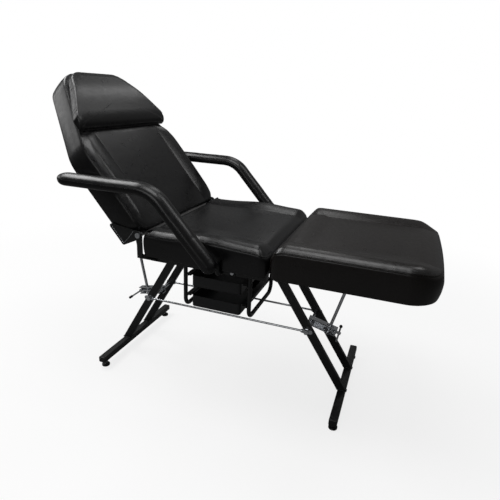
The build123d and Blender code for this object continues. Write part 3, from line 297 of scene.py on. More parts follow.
def leather(name, dark, light, rub):
    """Polyurethane leather: a coated knit with a moulded pebble grain. Real grain is about 1 mm; it is drawn
    at 2.6 mm so that it shows. The coating is rubbed lighter along the crests, and its gloss is uneven."""
    material, tree, output = blank_material(name)
    grain_mm, crease_mm = 2.6, 4.0
    clouds_per_metre, spots_per_metre = 9.0, 60.0
    place = add_node(tree, "ShaderNodeTexCoord").outputs["Object"]
    tone = add_node(tree, "ShaderNodeTexNoise", {"Vector": place, "Scale": clouds_per_metre, "Detail": 3.0})
    clouds = add_node(
        tree, "ShaderNodeMix",
        {0: tone.outputs["Fac"], 6: linear(dark), 7: linear(light)},
        data_type="RGBA",
    )
    worn = add_node(tree, "ShaderNodeAttribute", attribute_name="rub")
    spots = add_node(tree, "ShaderNodeTexNoise", {"Vector": place, "Scale": spots_per_metre, "Detail": 4.0})
    share = add_node(
        tree, "ShaderNodeMath",
        {0: worn.outputs["Fac"], 1: spots.outputs["Fac"]},
        operation="MULTIPLY",
    )
    colour = add_node(
        tree, "ShaderNodeMix",
        {0: share.outputs[0], 6: clouds.outputs[2], 7: linear(rub)},
        data_type="RGBA",
    )
    grain = add_node(
        tree, "ShaderNodeTexVoronoi",
        {"Vector": place, "Scale": 1000.0 / grain_mm, "Randomness": 0.9},
        feature="SMOOTH_F1",
    )
    fine = add_node(
        tree, "ShaderNodeTexNoise",
        {"Vector": place, "Scale": 1000.0 / crease_mm, "Detail": 5.0},
    )
    heights = add_node(
        tree, "ShaderNodeMath",
        {0: grain.outputs["Distance"], 1: fine.outputs["Fac"]},
        operation="ADD",
    )
    bump = add_node(
        tree, "ShaderNodeBump",
        {"Height": heights.outputs[0], "Strength": 0.09, "Distance": 0.0006},
    )
    dull = add_node(
        tree, "ShaderNodeMapRange",
        {"Value": spots.outputs["Fac"], "From Min": 0.3, "From Max": 0.7, "To Min": 0.27, "To Max": 0.36},
    )
    surface = add_node(
        tree, "ShaderNodeBsdfPrincipled",
        {
            "Base Color": colour.outputs[2],
            "Roughness": dull.outputs[0],
            "Normal": bump.outputs[0],
            "Specular IOR Level": 0.4,
            "IOR": 1.5,
        },
    )
    tree.links.new(surface.outputs[0], output.inputs["Surface"])
    return material


def coated_steel(name, base, dust):
    """Powder-coated steel tube: a baked satin coat with orange peel of about 2 mm and a little dust."""
    material, tree, output = blank_material(name)
    peel_mm, clouds_per_metre = 2.2, 14.0
    place = add_node(tree, "ShaderNodeTexCoord").outputs["Object"]
    peel = add_node(tree, "ShaderNodeTexNoise", {"Vector": place, "Scale": 1000.0 / peel_mm, "Detail": 2.0})
    cloud = add_node(
        tree, "ShaderNodeTexNoise",
        {"Vector": place, "Scale": clouds_per_metre, "Detail": 5.0, "Roughness": 0.6},
    )
    dusty = add_node(
        tree, "ShaderNodeMapRange",
        {"Value": cloud.outputs["Fac"], "From Min": 0.45, "From Max": 0.8, "To Max": 0.5},
    )
    colour = add_node(
        tree, "ShaderNodeMix",
        {0: dusty.outputs[0], 6: linear(base), 7: linear(dust)},
        data_type="RGBA",
    )
    bump = add_node(
        tree, "ShaderNodeBump",
        {"Height": peel.outputs["Fac"], "Strength": 0.12, "Distance": 0.0003},
    )
    dull = add_node(
        tree, "ShaderNodeMapRange",
        {"Value": cloud.outputs["Fac"], "To Min": 0.3, "To Max": 0.5},
    )
    surface = add_node(
        tree, "ShaderNodeBsdfPrincipled",
        {
            "Base Color": colour.outputs[2],
            "Roughness": dull.outputs[0],
            "Normal": bump.outputs[0],
            "Specular IOR Level": 0.5,
        },
    )
    tree.links.new(surface.outputs[0], output.inputs["Surface"])
    return material


def plated_steel(name, base, tint, roughness):
    """Bright zinc plate on drawn steel: small clouds and a fine texture of 1.5 mm, drawn coarser than the
    real one so that it shows."""
    material, tree, output = blank_material(name)
    texture_mm, clouds_per_metre = 1.5, 45.0
    place = add_node(tree, "ShaderNodeTexCoord").outputs["Object"]
    cloud = add_node(tree, "ShaderNodeTexNoise", {"Vector": place, "Scale": clouds_per_metre, "Detail": 4.0})
    colour = add_node(
        tree, "ShaderNodeMix",
        {0: cloud.outputs["Fac"], 6: linear(base), 7: linear(tint)},
        data_type="RGBA",
    )
    fine = add_node(
        tree, "ShaderNodeTexNoise",
        {"Vector": place, "Scale": 1000.0 / texture_mm, "Detail": 2.0},
    )
    bump = add_node(
        tree, "ShaderNodeBump",
        {"Height": fine.outputs["Fac"], "Strength": 0.06, "Distance": 0.0002},
    )
    dull = add_node(
        tree, "ShaderNodeMapRange",
        {"Value": cloud.outputs["Fac"], "To Min": roughness - 0.06, "To Max": roughness + 0.1},
    )
    surface = add_node(
        tree, "ShaderNodeBsdfPrincipled",
        {
            "Base Color": colour.outputs[2],
            "Roughness": dull.outputs[0],
            "Normal": bump.outputs[0],
            "Metallic": 0.92,
        },
    )
    tree.links.new(surface.outputs[0], output.inputs["Surface"])
    return material


def moulded_plastic(name, base, light, texture_mm, roughness):
    """Moulded polypropylene: a spark-eroded texture from the mould, with slight flow marks."""
    material, tree, output = blank_material(name)
    marks_per_metre = 20.0
    place = add_node(tree, "ShaderNodeTexCoord").outputs["Object"]
    flow = add_node(tree, "ShaderNodeTexNoise", {"Vector": place, "Scale": marks_per_metre, "Detail": 3.0})
    colour = add_node(
        tree, "ShaderNodeMix",
        {0: flow.outputs["Fac"], 6: linear(base), 7: linear(light)},
        data_type="RGBA",
    )
    spark = add_node(tree, "ShaderNodeTexVoronoi", {"Vector": place, "Scale": 1000.0 / texture_mm})
    bump = add_node(
        tree, "ShaderNodeBump",
        {"Height": spark.outputs["Distance"], "Strength": 0.15, "Distance": 0.0003},
    )
    surface = add_node(
        tree, "ShaderNodeBsdfPrincipled",
        {
            "Base Color": colour.outputs[2],
            "Roughness": roughness,
            "Normal": bump.outputs[0],
            "Specular IOR Level": 0.45,
        },
    )
    tree.links.new(surface.outputs[0], output.inputs["Surface"])
    return material


def lining_cloth(name, base, fibre):
    """Non-woven lining over the plywood: pressed fibres with a spot weld every 3 mm."""
    material, tree, output = blank_material(name)
    weld_mm, fibres_per_metre = 3.0, 420.0
    place = add_node(tree, "ShaderNodeTexCoord").outputs["Object"]
    fuzz = add_node(
        tree, "ShaderNodeTexNoise",
        {"Vector": place, "Scale": fibres_per_metre, "Detail": 6.0, "Roughness": 0.7},
    )
    colour = add_node(
        tree, "ShaderNodeMix",
        {0: fuzz.outputs["Fac"], 6: linear(base), 7: linear(fibre)},
        data_type="RGBA",
    )
    welds = add_node(
        tree, "ShaderNodeTexVoronoi",
        {"Vector": place, "Scale": 1000.0 / weld_mm, "Randomness": 0.15},
    )
    bump = add_node(
        tree, "ShaderNodeBump",
        {"Height": welds.outputs["Distance"], "Strength": 0.3, "Distance": 0.0004},
    )
    surface = add_node(
        tree, "ShaderNodeBsdfPrincipled",
        {
            "Base Color": colour.outputs[2],
            "Roughness": 0.9,
            "Normal": bump.outputs[0],
            "Specular IOR Level": 0.2,
        },
    )
    tree.links.new(surface.outputs[0], output.inputs["Surface"])
    return material


def finish(name):
    """The finish of that name, made once from the panel's colours."""
    if name in bpy.data.materials:
        return bpy.data.materials[name]
    hues = bpy.context.scene.tattoo_chair_finishes
    makers = {
        "black_pu_leather": lambda: leather(name, hues.leather_dark, hues.leather_light, hues.leather_rub),
        "leg_rest_pu_leather": lambda: leather(
            name, hues.leg_leather, hues.leg_leather_light, hues.leather_rub
        ),
        "bonded_nylon_thread": lambda: moulded_plastic(name, hues.thread, hues.thread, 1.2, 0.5),
        "powder_coated_steel": lambda: coated_steel(name, hues.coat, hues.dust),
        "bright_zinc_plate": lambda: plated_steel(name, hues.zinc, hues.zinc_shade, 0.2),
        "moulded_polypropylene": lambda: moulded_plastic(name, hues.plastic, hues.plastic_light, 1.6, 0.42),
        "phenolic_knob": lambda: moulded_plastic(name, hues.plastic, hues.coat, 4.0, 0.16),
        "non_woven_lining": lambda: lining_cloth(name, hues.lining, hues.lining_fibre),
    }
    return makers[name]()


def dress(made, body, material, replaces=()):
    """Gives a piece its finish, its body and the CAD nodes that it stands for."""
    made.data.materials.clear()
    made.data.materials.append(finish(material))
    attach(made, body)
    if replaces:
        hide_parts(*replaces)


# Sizes that a user would change
class TattooChairUpholstery(bpy.types.PropertyGroup):
    bolster_rise: FloatProperty(
        name="Bolster rise",
        description="Height of a side bolster over the seam, mm",
        default=18.5, min=0,
    )
    trough_rise: FloatProperty(
        name="Trough rise",
        description="Height of the middle over the seam, mm",
        default=6.0, min=0,
    )
    edge_roll: FloatProperty(
        name="Edge roll",
        description="Width of the rolled top edge, mm",
        default=34.0, min=1,
    )
    bolster_width: FloatProperty(
        name="Bolster width",
        description="From the side to the foot of the bolster, mm",
        default=102.0,
    )
    crest_width: FloatProperty(
        name="Crest width",
        description="From the side to the top of the bolster, mm",
        default=24.0,
    )
    welt: FloatProperty(
        name="Welt",
        description="Radius of the welt in the top seam, mm",
        default=1.7, min=0.2,
    )
    stitch: FloatProperty(name="Stitch", description="Distance between stitches, mm", default=6.5, min=1)
    fold: FloatProperty(name="Folds", description="Depth of the folds as a share", default=1.0, min=0)
    around: IntProperty(name="Points round", description="Points round a cushion", default=420, min=60)


class TattooChairFinishes(bpy.types.PropertyGroup):
    leather_dark: StringProperty(name="Leather", description="Cushion leather", default="#060607")
    leather_light: StringProperty(
        name="Leather, lighter",
        description="Lighter clouds in the leather",
        default="#0b0b0c",
    )
    leather_rub: StringProperty(name="Rubbed leather", description="Rubbed crests", default="#1a1a1b")
    leg_leather: StringProperty(
        name="Leg rest leather",
        description="Slightly warmer leather of the leg rest",
        default="#0c0908",
    )
    leg_leather_light: StringProperty(
        name="Leg rest leather, lighter",
        description="Its lighter clouds",
        default="#120e0c",
    )
    thread: StringProperty(name="Thread", description="Sewing thread", default="#2c2c2e")
    coat: StringProperty(name="Powder coat", description="Coat on the frame", default="#0d0e0f")
    dust: StringProperty(name="Dust", description="Dust on the coat", default="#242526")
    zinc: StringProperty(name="Zinc", description="Bright zinc plate", default="#d4d6d9")
    zinc_shade: StringProperty(name="Zinc, shaded", description="Clouds in the plate", default="#b4b7bb")
    plastic: StringProperty(name="Plastic", description="Trays, caps and feet", default="#101112")
    plastic_light: StringProperty(name="Plastic, lighter", description="Flow marks", default="#17181a")
    lining: StringProperty(name="Lining", description="Lining under the cushions", default="#141415")
    lining_fibre: StringProperty(
        name="Lining fibres",
        description="Fibres in the lining",
        default="#2a2a2b",
    )


class TattooChairStudio(bpy.types.PropertyGroup):
    floor: StringProperty(name="Floor", description="Colour of the floor", default="#f6f6f6")
    head_light: FloatProperty(
        name="Head light",
        description="Power of the softbox above the head end",
        default=52.0,
    )
    far_light: FloatProperty(
        name="Far light",
        description="Power of the softbox over the far side",
        default=9.0,
    )
    foot_light: FloatProperty(
        name="Foot light",
        description="Power of the softbox above the foot end",
        default=12.0,
    )
    side_light: FloatProperty(
        name="Side light",
        description="Power of the low softbox behind the head",
        default=10.0,
    )
    top_light: FloatProperty(
        name="Top light",
        description="Power of the softbox over the seat",
        default=24.0,
    )
    near_light: FloatProperty(
        name="Near light",
        description="Power of the softbox on the near side",
        default=18.0,
    )
    room: FloatProperty(
        name="Room",
        description="Strength of the room beyond the chair",
        default=0.15, min=0,
    )
    near_room: FloatProperty(
        name="Near room",
        description="Strength of the room on the near side",
        default=0.09, min=0,
    )
    clean: FloatProperty(
        name="Clean floor",
        description="Share of the floor that is kept white",
        default=0.8, min=0, max=1,
    )


# Cushions
def cushion_wall(side):
    """Insets and heights of a cushion's wall: the pocket round the board, the lower edge, the bowed wall and
    the groove at the top seam."""
    pocket = 15.7
    return [
        (pocket, BOARD_RIM), (pocket, BOARD_RIM / 2), (pocket, 0.3), (12.0, 0.25), (8.5, 0.25), (6.0, 0.5),
        (4.6, 1.6), (3.9, 4.0), (3.2, 10.0), (2.0, 20.0), (1.0, 31.0), (0.3, 42.0), (-0.3, 52.0),
        (-0.5, 61.0), (-0.3, side - 13.0), (0.1, side - 7.0), (0.6, side - 4.2), (1.3, side - 2.6),
        (2.8, side - 1.5), (3.5, side - 0.6), (3.1, side + 0.5),
    ]


def inset_rings(loop, centre, reach, side, depths, parallel):
    """Rings of a cushion's top: the loop set in by each depth, in parallel down to one depth, and from there
    shrunk towards the centre, which lies at the depth reach."""
    normal = outward(loop)
    edge_loop = loop - normal * parallel
    rings = []
    for depth in depths:
        if depth <= parallel:
            ring = loop - normal * depth
        else:
            ring = centre + (edge_loop - centre) * (reach - depth) / (reach - parallel)
        rings.append(np.column_stack([ring, np.full(len(loop), side)]))
    return rings


def boxed_rings(loop, centre, reach, side, sizes, shape):
    """Rings of a boxed cushion in its own frame: its wall, and its top at side + roll(e) h(x, y).

    roll = 1 - (1 - e/w)^2 of the depth e, with w the roll's width at that end. h = trough + crown
    + (bolster - trough - crown) B(x) C(y), cut off at top_limit(y), where B = 1 - (1 - t)^2 of the share t
    that x has climbed to the crest and C is the shape's crest. The wall's upper part and the roll rise by
    lift(x, y). Each (end, draw, bulge) draws the seam at that end inwards and bows its wall outwards, by a
    half sine of the height."""
    normal = outward(loop)
    parallel, seam_rise = 16.0, 0.8
    wall = cushion_wall(side)
    rings = [
        np.column_stack([loop - normal * inset, np.full(len(loop), height)])
        for inset, height in wall
    ]
    top = np.concatenate([
        [1.4, 2.2, 3.4, 5.0, 7.0, 9.5, 12.5, parallel], np.arange(20.0, 112.0, 4.5),
        np.arange(118.0, reach - 4.0, 9.0),
    ])
    rings = np.array(rings + inset_rings(loop, centre, reach, side, top, parallel))
    depths = np.concatenate([np.zeros(len(wall)), top])[:, None]
    x, y = rings[..., 0], rings[..., 1]

    foot_roll, head_roll = shape["end_rolls"]
    width = (
        sizes.edge_roll
        + (foot_roll - sizes.edge_roll) * np.clip(-normal[:, 1], 0, 1) ** 2
        + (head_roll - sizes.edge_roll) * np.clip(normal[:, 1], 0, 1) ** 2
    )
    roll = 1.0 - (1.0 - np.clip(depths / width, 0, 1)) ** 2
    from_foot = sizes.bolster_width - HALF_WIDTH + np.abs(x)
    climb = np.clip(from_foot / (sizes.bolster_width - sizes.crest_width), 0, 1)
    bolster = 1.0 - (1.0 - climb * smooth(0.0, 0.12, climb)) ** 2
    crown = 2.5 * np.clip(1.0 - (x / 220.0) ** 2, 0, 1)
    over = sizes.bolster_rise - sizes.trough_rise - crown
    height = sizes.trough_rise + crown + over * bolster * shape["crest"](y)
    if "top_limit" in shape:
        height = np.minimum(height, shape["top_limit"](y))
    upper = depths[:, 0] > 0
    rings[upper, :, 2] = side + seam_rise + (roll * height)[upper]

    share = np.clip(rings[..., 2] / side, 0, 1)
    rings[..., 2] += shape["lift"](x, y) * share ** 3 * (1.0 - smooth(50.0, 130.0, depths))
    for end, draw, bulge in shape["ends"]:
        facing = np.clip(end * normal[:, 1], 0, 1) ** 0.8
        edge = share ** 5 * (1.0 - smooth(0.0, 60.0, depths))
        belly = np.where(depths > 0, 0.0, np.sin(math.pi * share) ** 0.6)
        rings[..., 1] -= end * facing * (draw * edge - bulge * belly)
    rub = np.where(depths > 0, np.exp(-(((depths - 9.0) / 9.0) ** 2)), 0.0) * np.ones(len(loop))
    return rings, rub, len(wall)


def set_in_folds(rings, creases, amount):
    """Rings moved inwards along their normals by the depth of the folds."""
    normals = ring_normals(rings)
    depth = crease_depth(rings.reshape(-1, 3), creases).reshape(rings.shape[:2])
    return rings - normals * (depth * amount)[..., None]


def seam_puckers(rings, wall_count, seed, amount):
    """Small gathers that the seam pulls into the wall and the roll: a sum of three sines along the loop, in
    patches, fading away from the seam over a few rings."""
    rng = np.random.default_rng(seed)
    angle = np.linspace(0.0, math.tau, rings.shape[1], endpoint=False)
    gathers = ((47, 0.5), (71, 0.35), (113, 0.25))
    waves = sum(np.sin(n * angle + rng.uniform(0, math.tau)) * share for n, share in gathers)
    slow = np.sin(3 * angle + rng.uniform(0, math.tau))
    patches = 0.5 + 0.5 * slow * np.sin(5 * angle + rng.uniform(0, math.tau))
    away = np.arange(len(rings)) - wall_count
    fade = np.exp(-np.abs(away) / 3.2)[:, None]
    normals = ring_normals(rings)
    return rings + normals * (fade * (waves * patches)[None] * amount)[..., None]


def cushion(name, body, node, material, loop, centre, reach, side, place, creases, shape, seed):
    """A boxed cushion with its welt and stitching. The function place carries points from the cushion's own
    frame to the chair's."""
    sizes = bpy.context.scene.tattoo_chair_upholstery
    loop = resample(loop, sizes.around)
    rings, rub, wall_count = boxed_rings(loop, centre, reach, side, sizes, shape)
    rings = set_in_folds(rings, creases, sizes.fold)
    rings = seam_puckers(rings, wall_count, seed, 0.7 * sizes.fold)
    low = np.array([*centre, BOARD_RIM])
    high = np.array([*centre, rings[-1, :, 2].mean() + 0.05])
    wear = np.concatenate([rub.ravel(), [0.0, 0.0]])
    points, quads, triangles = shell(rings, low, high)
    made = make_object(name, place(points), quads, triangles, {"rub": wear})
    dress(made, body, material, (node,))

    normals = ring_normals(rings)
    groove, stitched = wall_count - 2, wall_count + 4
    welt = make_object(name + "_welt", *tube(place(rings[groove] + normals[groove] * 1.0), sizes.welt))
    dress(welt, body, material)
    line = rings[stitched] + normals[stitched] * 0.25
    away = place(normals[stitched]) - place(np.zeros((1, 3)))
    threads = stitches(place(line), away, sizes.stitch, length=4.4, radius=0.6)
    dress(make_object(name + "_stitching", *threads), body, "bonded_nylon_thread")


def flat_place(points):
    """From the frame of the seat or leg rest, with heights over the board, to the chair's frame."""
    return points + np.array([0.0, 0.0, SEAT_BASE])


def back_place(points, base=-BACK_SIDE):
    """From the back's own frame (across, along, out of the board) to the chair's frame."""
    up = np.array([0.0, math.sin(BACK_LEAN), math.cos(BACK_LEAN)])
    front = np.array([0.0, -math.cos(BACK_LEAN), math.sin(BACK_LEAN)])
    across = np.array([1.0, 0.0, 0.0])
    along = np.array(BACK_START) + points[:, :1] * across + points[:, 1:2] * up
    return along + (points[:, 2:] + base) * front


def back_top_place(points):
    """From the back's own frame, with heights over the top edge of its wall, to the chair's frame."""
    return back_place(points, base=0.0)


def both_sides(x, y):
    """A point on the -X side and its mirror image on the +X side."""
    return (-x, y), (x, y)


def corner_folds(rng, corners, reach, heights, width, deep, count):
    """Folds that run out from cushion corners: short lines at random angles and heights."""
    rows = []
    for x, y in corners:
        for _ in range(count):
            low, high = rng.uniform(*heights), rng.uniform(*heights)
            dx, dy = rng.uniform(-reach, reach), rng.uniform(-reach, reach)
            end = (x - np.sign(x) * abs(dx), y + dy, high)
            rows.append(((x, y, low), end, rng.uniform(*width), rng.uniform(*deep)))
    return rows


class TATTOO_OT_seat_cushion(bpy.types.Operator):
    """Makes the seat cushion"""
    bl_idname = "tattoo_chair.seat_cushion"
    bl_label = "Seat Cushion"

    def execute(self, context):
        loop = plan(((HALF_WIDTH, SEAT_FRONT, 28), (HALF_WIDTH, SEAT_REAR, 6)))
        rng = np.random.default_rng(4)
        creases = corner_folds(
            rng, both_sides(292, SEAT_REAR - 8),
            reach=90, heights=(30, 84), width=(5, 9), deep=(0.8, 2.0), count=7,
        )
        creases += corner_folds(
            rng, both_sides(290, SEAT_FRONT + 10),
            reach=40, heights=(60, 92), width=(4, 6), deep=(0.3, 0.8), count=4,
        )
        creases += [
            ((-240, 120, 88), (-150, -120, 88), 14, 0.9),
            ((200, 140, 88), (150, -100, 88), 16, 0.8),
            ((-HALF_WIDTH, 228, 60), (-HALF_WIDTH, 120, 48), 6, 1.6),
            ((-HALF_WIDTH, 226, 40), (-HALF_WIDTH, 150, 30), 6, 1.3),
        ]

        def lift(x, y):
            """The seam arches along the sides, is pulled down at the leg rest and turns up at the back."""
            arch = 10.0 * np.sin(math.pi * smooth(SEAT_FRONT - 40, SEAT_REAR, y)) ** 2
            pull = 14.0 * np.clip(1 - (y - SEAT_FRONT) / 55.0, 0, 1) ** 2
            return arch - pull + 3.0 * smooth(190, SEAT_REAR, y)

        def crest(y):
            """The bolsters fade out at the leg rest and towards the back."""
            return 0.5 + 0.5 * smooth(SEAT_FRONT + 4, SEAT_FRONT + 42, y) * (1 - smooth(205, 280, y))

        shape = {
            "end_rolls": (32.0, 22.0), "lift": lift, "crest": crest,
            "ends": ((-1, 6.0, 1.0), (1, 0.0, 6.4)),
        }
        cushion(
            "seat_upholstery", "base", "seat_cushion", "black_pu_leather", loop,
            centre=np.array([0.0, (SEAT_FRONT + SEAT_REAR) / 2]), reach=(SEAT_REAR - SEAT_FRONT) / 2,
            side=SEAT_SIDE, place=flat_place, creases=creases, shape=shape, seed=11,
        )
        return {"FINISHED"}


class TATTOO_OT_leg_cushion(bpy.types.Operator):
    """Makes the leg rest's cushion"""
    bl_idname = "tattoo_chair.leg_cushion"
    bl_label = "Leg Rest Cushion"

    def execute(self, context):
        end = LEG_END - 6.0
        loop = resample(plan(((HALF_WIDTH, end, 92), (HALF_WIDTH, LEG_START, 26))), 600)
        bow = 1 - (loop[:, 0] / HALF_WIDTH) ** 2
        loop[:, 1] -= 9.0 * bow * (1 - smooth(end, end + 140, loop[:, 1]))
        rng = np.random.default_rng(9)
        creases = corner_folds(
            rng, both_sides(290, LEG_START - 12),
            reach=40, heights=(60, 98), width=(4, 6), deep=(0.3, 0.8), count=5,
        )
        creases += corner_folds(
            rng, both_sides(262, LEG_END + 34),
            reach=60, heights=(20, 100), width=(7, 12), deep=(0.4, 1.1), count=4,
        )
        creases += [
            ((-200, -300, 95), (-160, -640, 95), 20, 0.9),
            ((190, -320, 95), (200, -600, 95), 18, 0.9),
        ]

        def lift(x, y):
            """The seam lies higher along the sides and is pulled down at both ends."""
            foot = (1 - smooth(LEG_END, LEG_END + 60, y)) * 8.0
            seat = 18.0 * np.clip(1 - (LEG_START - y) / 55.0, 0, 1) ** 2
            return 6.0 - (foot + seat)

        def crest(y):
            """The bolsters fade out at both ends."""
            foot = smooth(LEG_END, LEG_END + 70, y)
            return 0.4 + 0.6 * foot * (1 - 0.85 * smooth(LEG_START - 40, LEG_START - 2, y))

        shape = {
            "end_rolls": (30.0, 32.0), "lift": lift, "crest": crest,
            "ends": ((-1, 3.0, 6.0), (1, 6.0, 1.0)),
        }
        cushion(
            "leg_upholstery", "leg_rest", "leg_cushion", "leg_rest_pu_leather", loop,
            centre=np.array([0.0, (LEG_START + end) / 2]), reach=(LEG_START - end) / 2,
            side=LEG_SIDE, place=flat_place, creases=creases, shape=shape, seed=12,
        )
        return {"FINISHED"}


class TATTOO_OT_back_cushion(bpy.types.Operator):
    """Makes the back's cushion"""
    bl_idname = "tattoo_chair.back_cushion"
    bl_label = "Back Cushion"

    def execute(self, context):
        loop = plan((
            (HALF_WIDTH, 0, 50), (HALF_WIDTH, BACK_SHOULDER, 150), (BACK_HEAD_HALF, BACK_LENGTH, 100),
        ))
        rng = np.random.default_rng(21)
        creases = corner_folds(
            rng, both_sides(285, 16),
            reach=90, heights=(40, 92), width=(6, 10), deep=(0.6, 1.8), count=6,
        )
        creases += corner_folds(
            rng, both_sides(278, 350),
            reach=70, heights=(84, 106), width=(6, 10), deep=(0.5, 1.3), count=4,
        )
        creases += [
            ((side * HALF_WIDTH, 330, 70), (side * 240, 470, 60), 8, 1.4)
            for side in (-1, 1)
        ]

        def lift(x, y):
            """The seam arches up along the wide part."""
            return 3.0 * np.sin(math.pi * np.clip(y / 420.0, 0, 1))

        def crest(y):
            """The bolsters fade out at the seat and under the pillow."""
            return (0.3 + 0.7 * smooth(0, 80, y)) * (1 - 0.9 * smooth(360, 420, y))

        def top_limit(y):
            """Under the pillow the top stays below it."""
            return 19.0 - 11.5 * smooth(372, 398, y)

        shape = {
            "end_rolls": (22.0, 22.0), "lift": lift, "crest": crest, "top_limit": top_limit,
            "ends": ((-1, 0.0, 4.0), (1, 0.0, 2.0)),
        }
        cushion(
            "back_upholstery", "back", "back_cushion", "black_pu_leather", loop,
            centre=np.array([0.0, 300.0]), reach=300.0, side=BACK_SIDE, place=back_place,
            creases=creases, shape=shape, seed=13,
        )
        return {"FINISHED"}


# Head pillow
def pillow_top(y):
    """Side view of the pillow's top: quarter superellipse of the roll, then an arch down to the head end."""
    turn = np.clip((y - PILLOW_NECK) / 62.0, 0, 1)
    roll = 8.0 + 30.0 * (1 - (1 - turn) ** 2.6) ** 0.6
    return roll + 4.0 * smooth(440, 530, y) - 15.0 * smooth(535, 660, y)


def pillow_rings(loop):
    """Rings of the pillow, with the number of them below the roll. Wall: the plan loop bowed out by a half
    sine of the height. Top: the loop set in by each depth e at pillow_top plus the roll's quarter circle."""
    normal = outward(loop)
    centre = np.array(PILLOW_MIDDLE)
    edge = np.maximum(pillow_top(loop[:, 1]) - 4.0, 2.5)
    rings = []
    for inset, height in ((30.0, 0.3), (9.0, 0.3), (2.6, 1.0), (0.8, 3.0)):
        rings.append(np.column_stack([loop - normal * inset, PILLOW_SEAT + np.full(len(loop), height)]))
    for share in (0.25, 0.45, 0.65, 0.82, 0.93):
        bulge = 1.5 * math.sin(math.pi * share)
        height = np.maximum(edge * share, 3.0 + share)
        rings.append(np.column_stack([loop + normal * bulge, PILLOW_SEAT + height]))
    rings.append(np.column_stack([loop - normal * 1.6, PILLOW_SEAT + np.maximum(edge, 4.2)]))
    wall_count = len(rings)

    parallel, reach = 14.0, 254.0
    inner = loop - normal * parallel
    for depth in np.concatenate([[1.0, 2.2, 4.0, 6.5, 10.0, parallel], np.arange(19.0, 252.0, 6.0)]):
        if depth <= parallel:
            ring = loop - normal * depth
        else:
            ring = centre + (inner - centre) * (reach - depth) / (reach - parallel)
        puff = np.sqrt(np.clip(1 - (1 - np.clip(depth / 26.0, 0, 1)) ** 2, 0, 1))
        height = np.maximum(pillow_top(ring[:, 1]) - 3.6, 4.4) + 3.6 * puff
        rings.append(np.column_stack([ring, PILLOW_SEAT + height]))
    return np.array(rings), wall_count


def pillow_folds():
    """Short upright folds along both slanted sides of the pillow."""
    rng = np.random.default_rng(33)
    rows = []
    for side in (-1, 1):
        for _ in range(24):
            y = rng.uniform(425, 618)
            edge = np.interp(y, (PILLOW_SHOULDER, PILLOW_HEAD), (PILLOW_HALF - 1, PILLOW_HEAD_HALF + 3))
            x = side * float(edge)
            lean = rng.uniform(-10, 10)
            rows.append(((x, y, 10), (x, y + lean, 40), rng.uniform(2.0, 3.6), rng.uniform(0.5, 1.5)))
    return rows


class TATTOO_OT_head_pillow(bpy.types.Operator):
    """Makes the head pillow"""
    bl_idname = "tattoo_chair.head_pillow"
    bl_label = "Head Pillow"

    def execute(self, context):
        sizes = context.scene.tattoo_chair_upholstery
        corners = (
            (PILLOW_HALF, PILLOW_NECK, 6), (PILLOW_HALF, PILLOW_SHOULDER, 24),
            (PILLOW_HEAD_HALF, PILLOW_HEAD, 84),
        )
        loop = resample(plan(corners), sizes.around)
        rings, wall_count = pillow_rings(loop)
        rings = set_in_folds(rings, pillow_folds(), sizes.fold)
        rings = seam_puckers(rings, wall_count, 14, 0.6 * sizes.fold)
        low = np.array([*PILLOW_MIDDLE, PILLOW_SEAT + 0.3])
        high = np.array([*PILLOW_MIDDLE, rings[-1, :, 2].mean()])
        away = np.concatenate([np.zeros(wall_count), np.arange(len(rings) - wall_count)])
        rub = (np.exp(-(((away - 2.0) / 2.0) ** 2)) * (away > 0))[:, None] * np.ones(len(loop))
        wear = np.concatenate([rub.ravel(), [0.0, 0.0]])
        points, quads, triangles = shell(rings, low, high)
        made = make_object("head_pillow_cover", back_top_place(points), quads, triangles, {"rub": wear})
        dress(made, "back", "black_pu_leather", ("head_pillow",))

        normals = ring_normals(rings)
        edge, stitched = wall_count - 1, wall_count + 2
        seam = back_top_place(rings[edge] + normals[edge] * 0.8)
        welt = make_object("head_pillow_welt", *tube(seam, sizes.welt))
        dress(welt, "back", "black_pu_leather")
        line = back_top_place(rings[stitched] + normals[stitched] * 0.2)
        out = back_top_place(normals[stitched]) - back_top_place(np.zeros((1, 3)))
        threads = stitches(line, out, sizes.stitch, length=4.2, radius=0.55)
        made = make_object("head_pillow_stitching", *threads)
        dress(made, "back", "bonded_nylon_thread")
        return {"FINISHED"}


# Arm pads
def rounded_tip(distance, length, fullness, power):
    """Share of the full size at a distance from a tip: (1 - (1 - d / length)^fullness)^power."""
    return np.clip(1 - (1 - np.clip(distance / length, 0, 1)) ** fullness, 0.0, 1) ** power


def pad_line():
    """Middle line of an arm pad as Y and Z, which runs on past both ends of its tube, with its upward
    normals and its shares of full height and width, which fall to nothing at the tips."""
    route = rounded(ARM_ROUTE, (0, ARM_BEND, 0), closed=False, arc_points=48)
    rear_tip = unit(route[0] - route[1]) * 9.0
    low_tip = unit(route[-1] - route[-2]) * 18.0
    route = resample(np.vstack([route[:1] + rear_tip, route, route[-1:] + low_tip]), 260, closed=False)
    run = np.concatenate([[0.0], np.cumsum(np.linalg.norm(np.diff(route, axis=0), axis=1))])
    total = run[-1]
    close = np.array([0.25, 0.8, 1.8, 3.2, 5.0, 7.2, 10.0, 13.0, 17.0])
    steps = np.unique(np.concatenate([close, np.linspace(22, total - 22, 150), total - close]))
    at = np.stack([np.interp(steps, run, route[:, k]) for k in (0, 1)], axis=1)
    along = unit(np.gradient(at, axis=0))
    up = np.stack([along[:, 1], -along[:, 0]], axis=1)
    up *= np.sign(up[:, 1:2] + 1e-9)
    rear_half = steps < total / 2
    tip = np.where(rear_half, 1.0, 0.55)
    from_tip = np.minimum(steps, total - steps)
    return {
        "steps": steps, "at": at, "up": up, "rear_half": rear_half,
        "height": rounded_tip(from_tip, 46.0 * tip, 2.2, 0.62),
        "width": rounded_tip(from_tip, 44.0 * tip, 2.0, 0.5),
    }


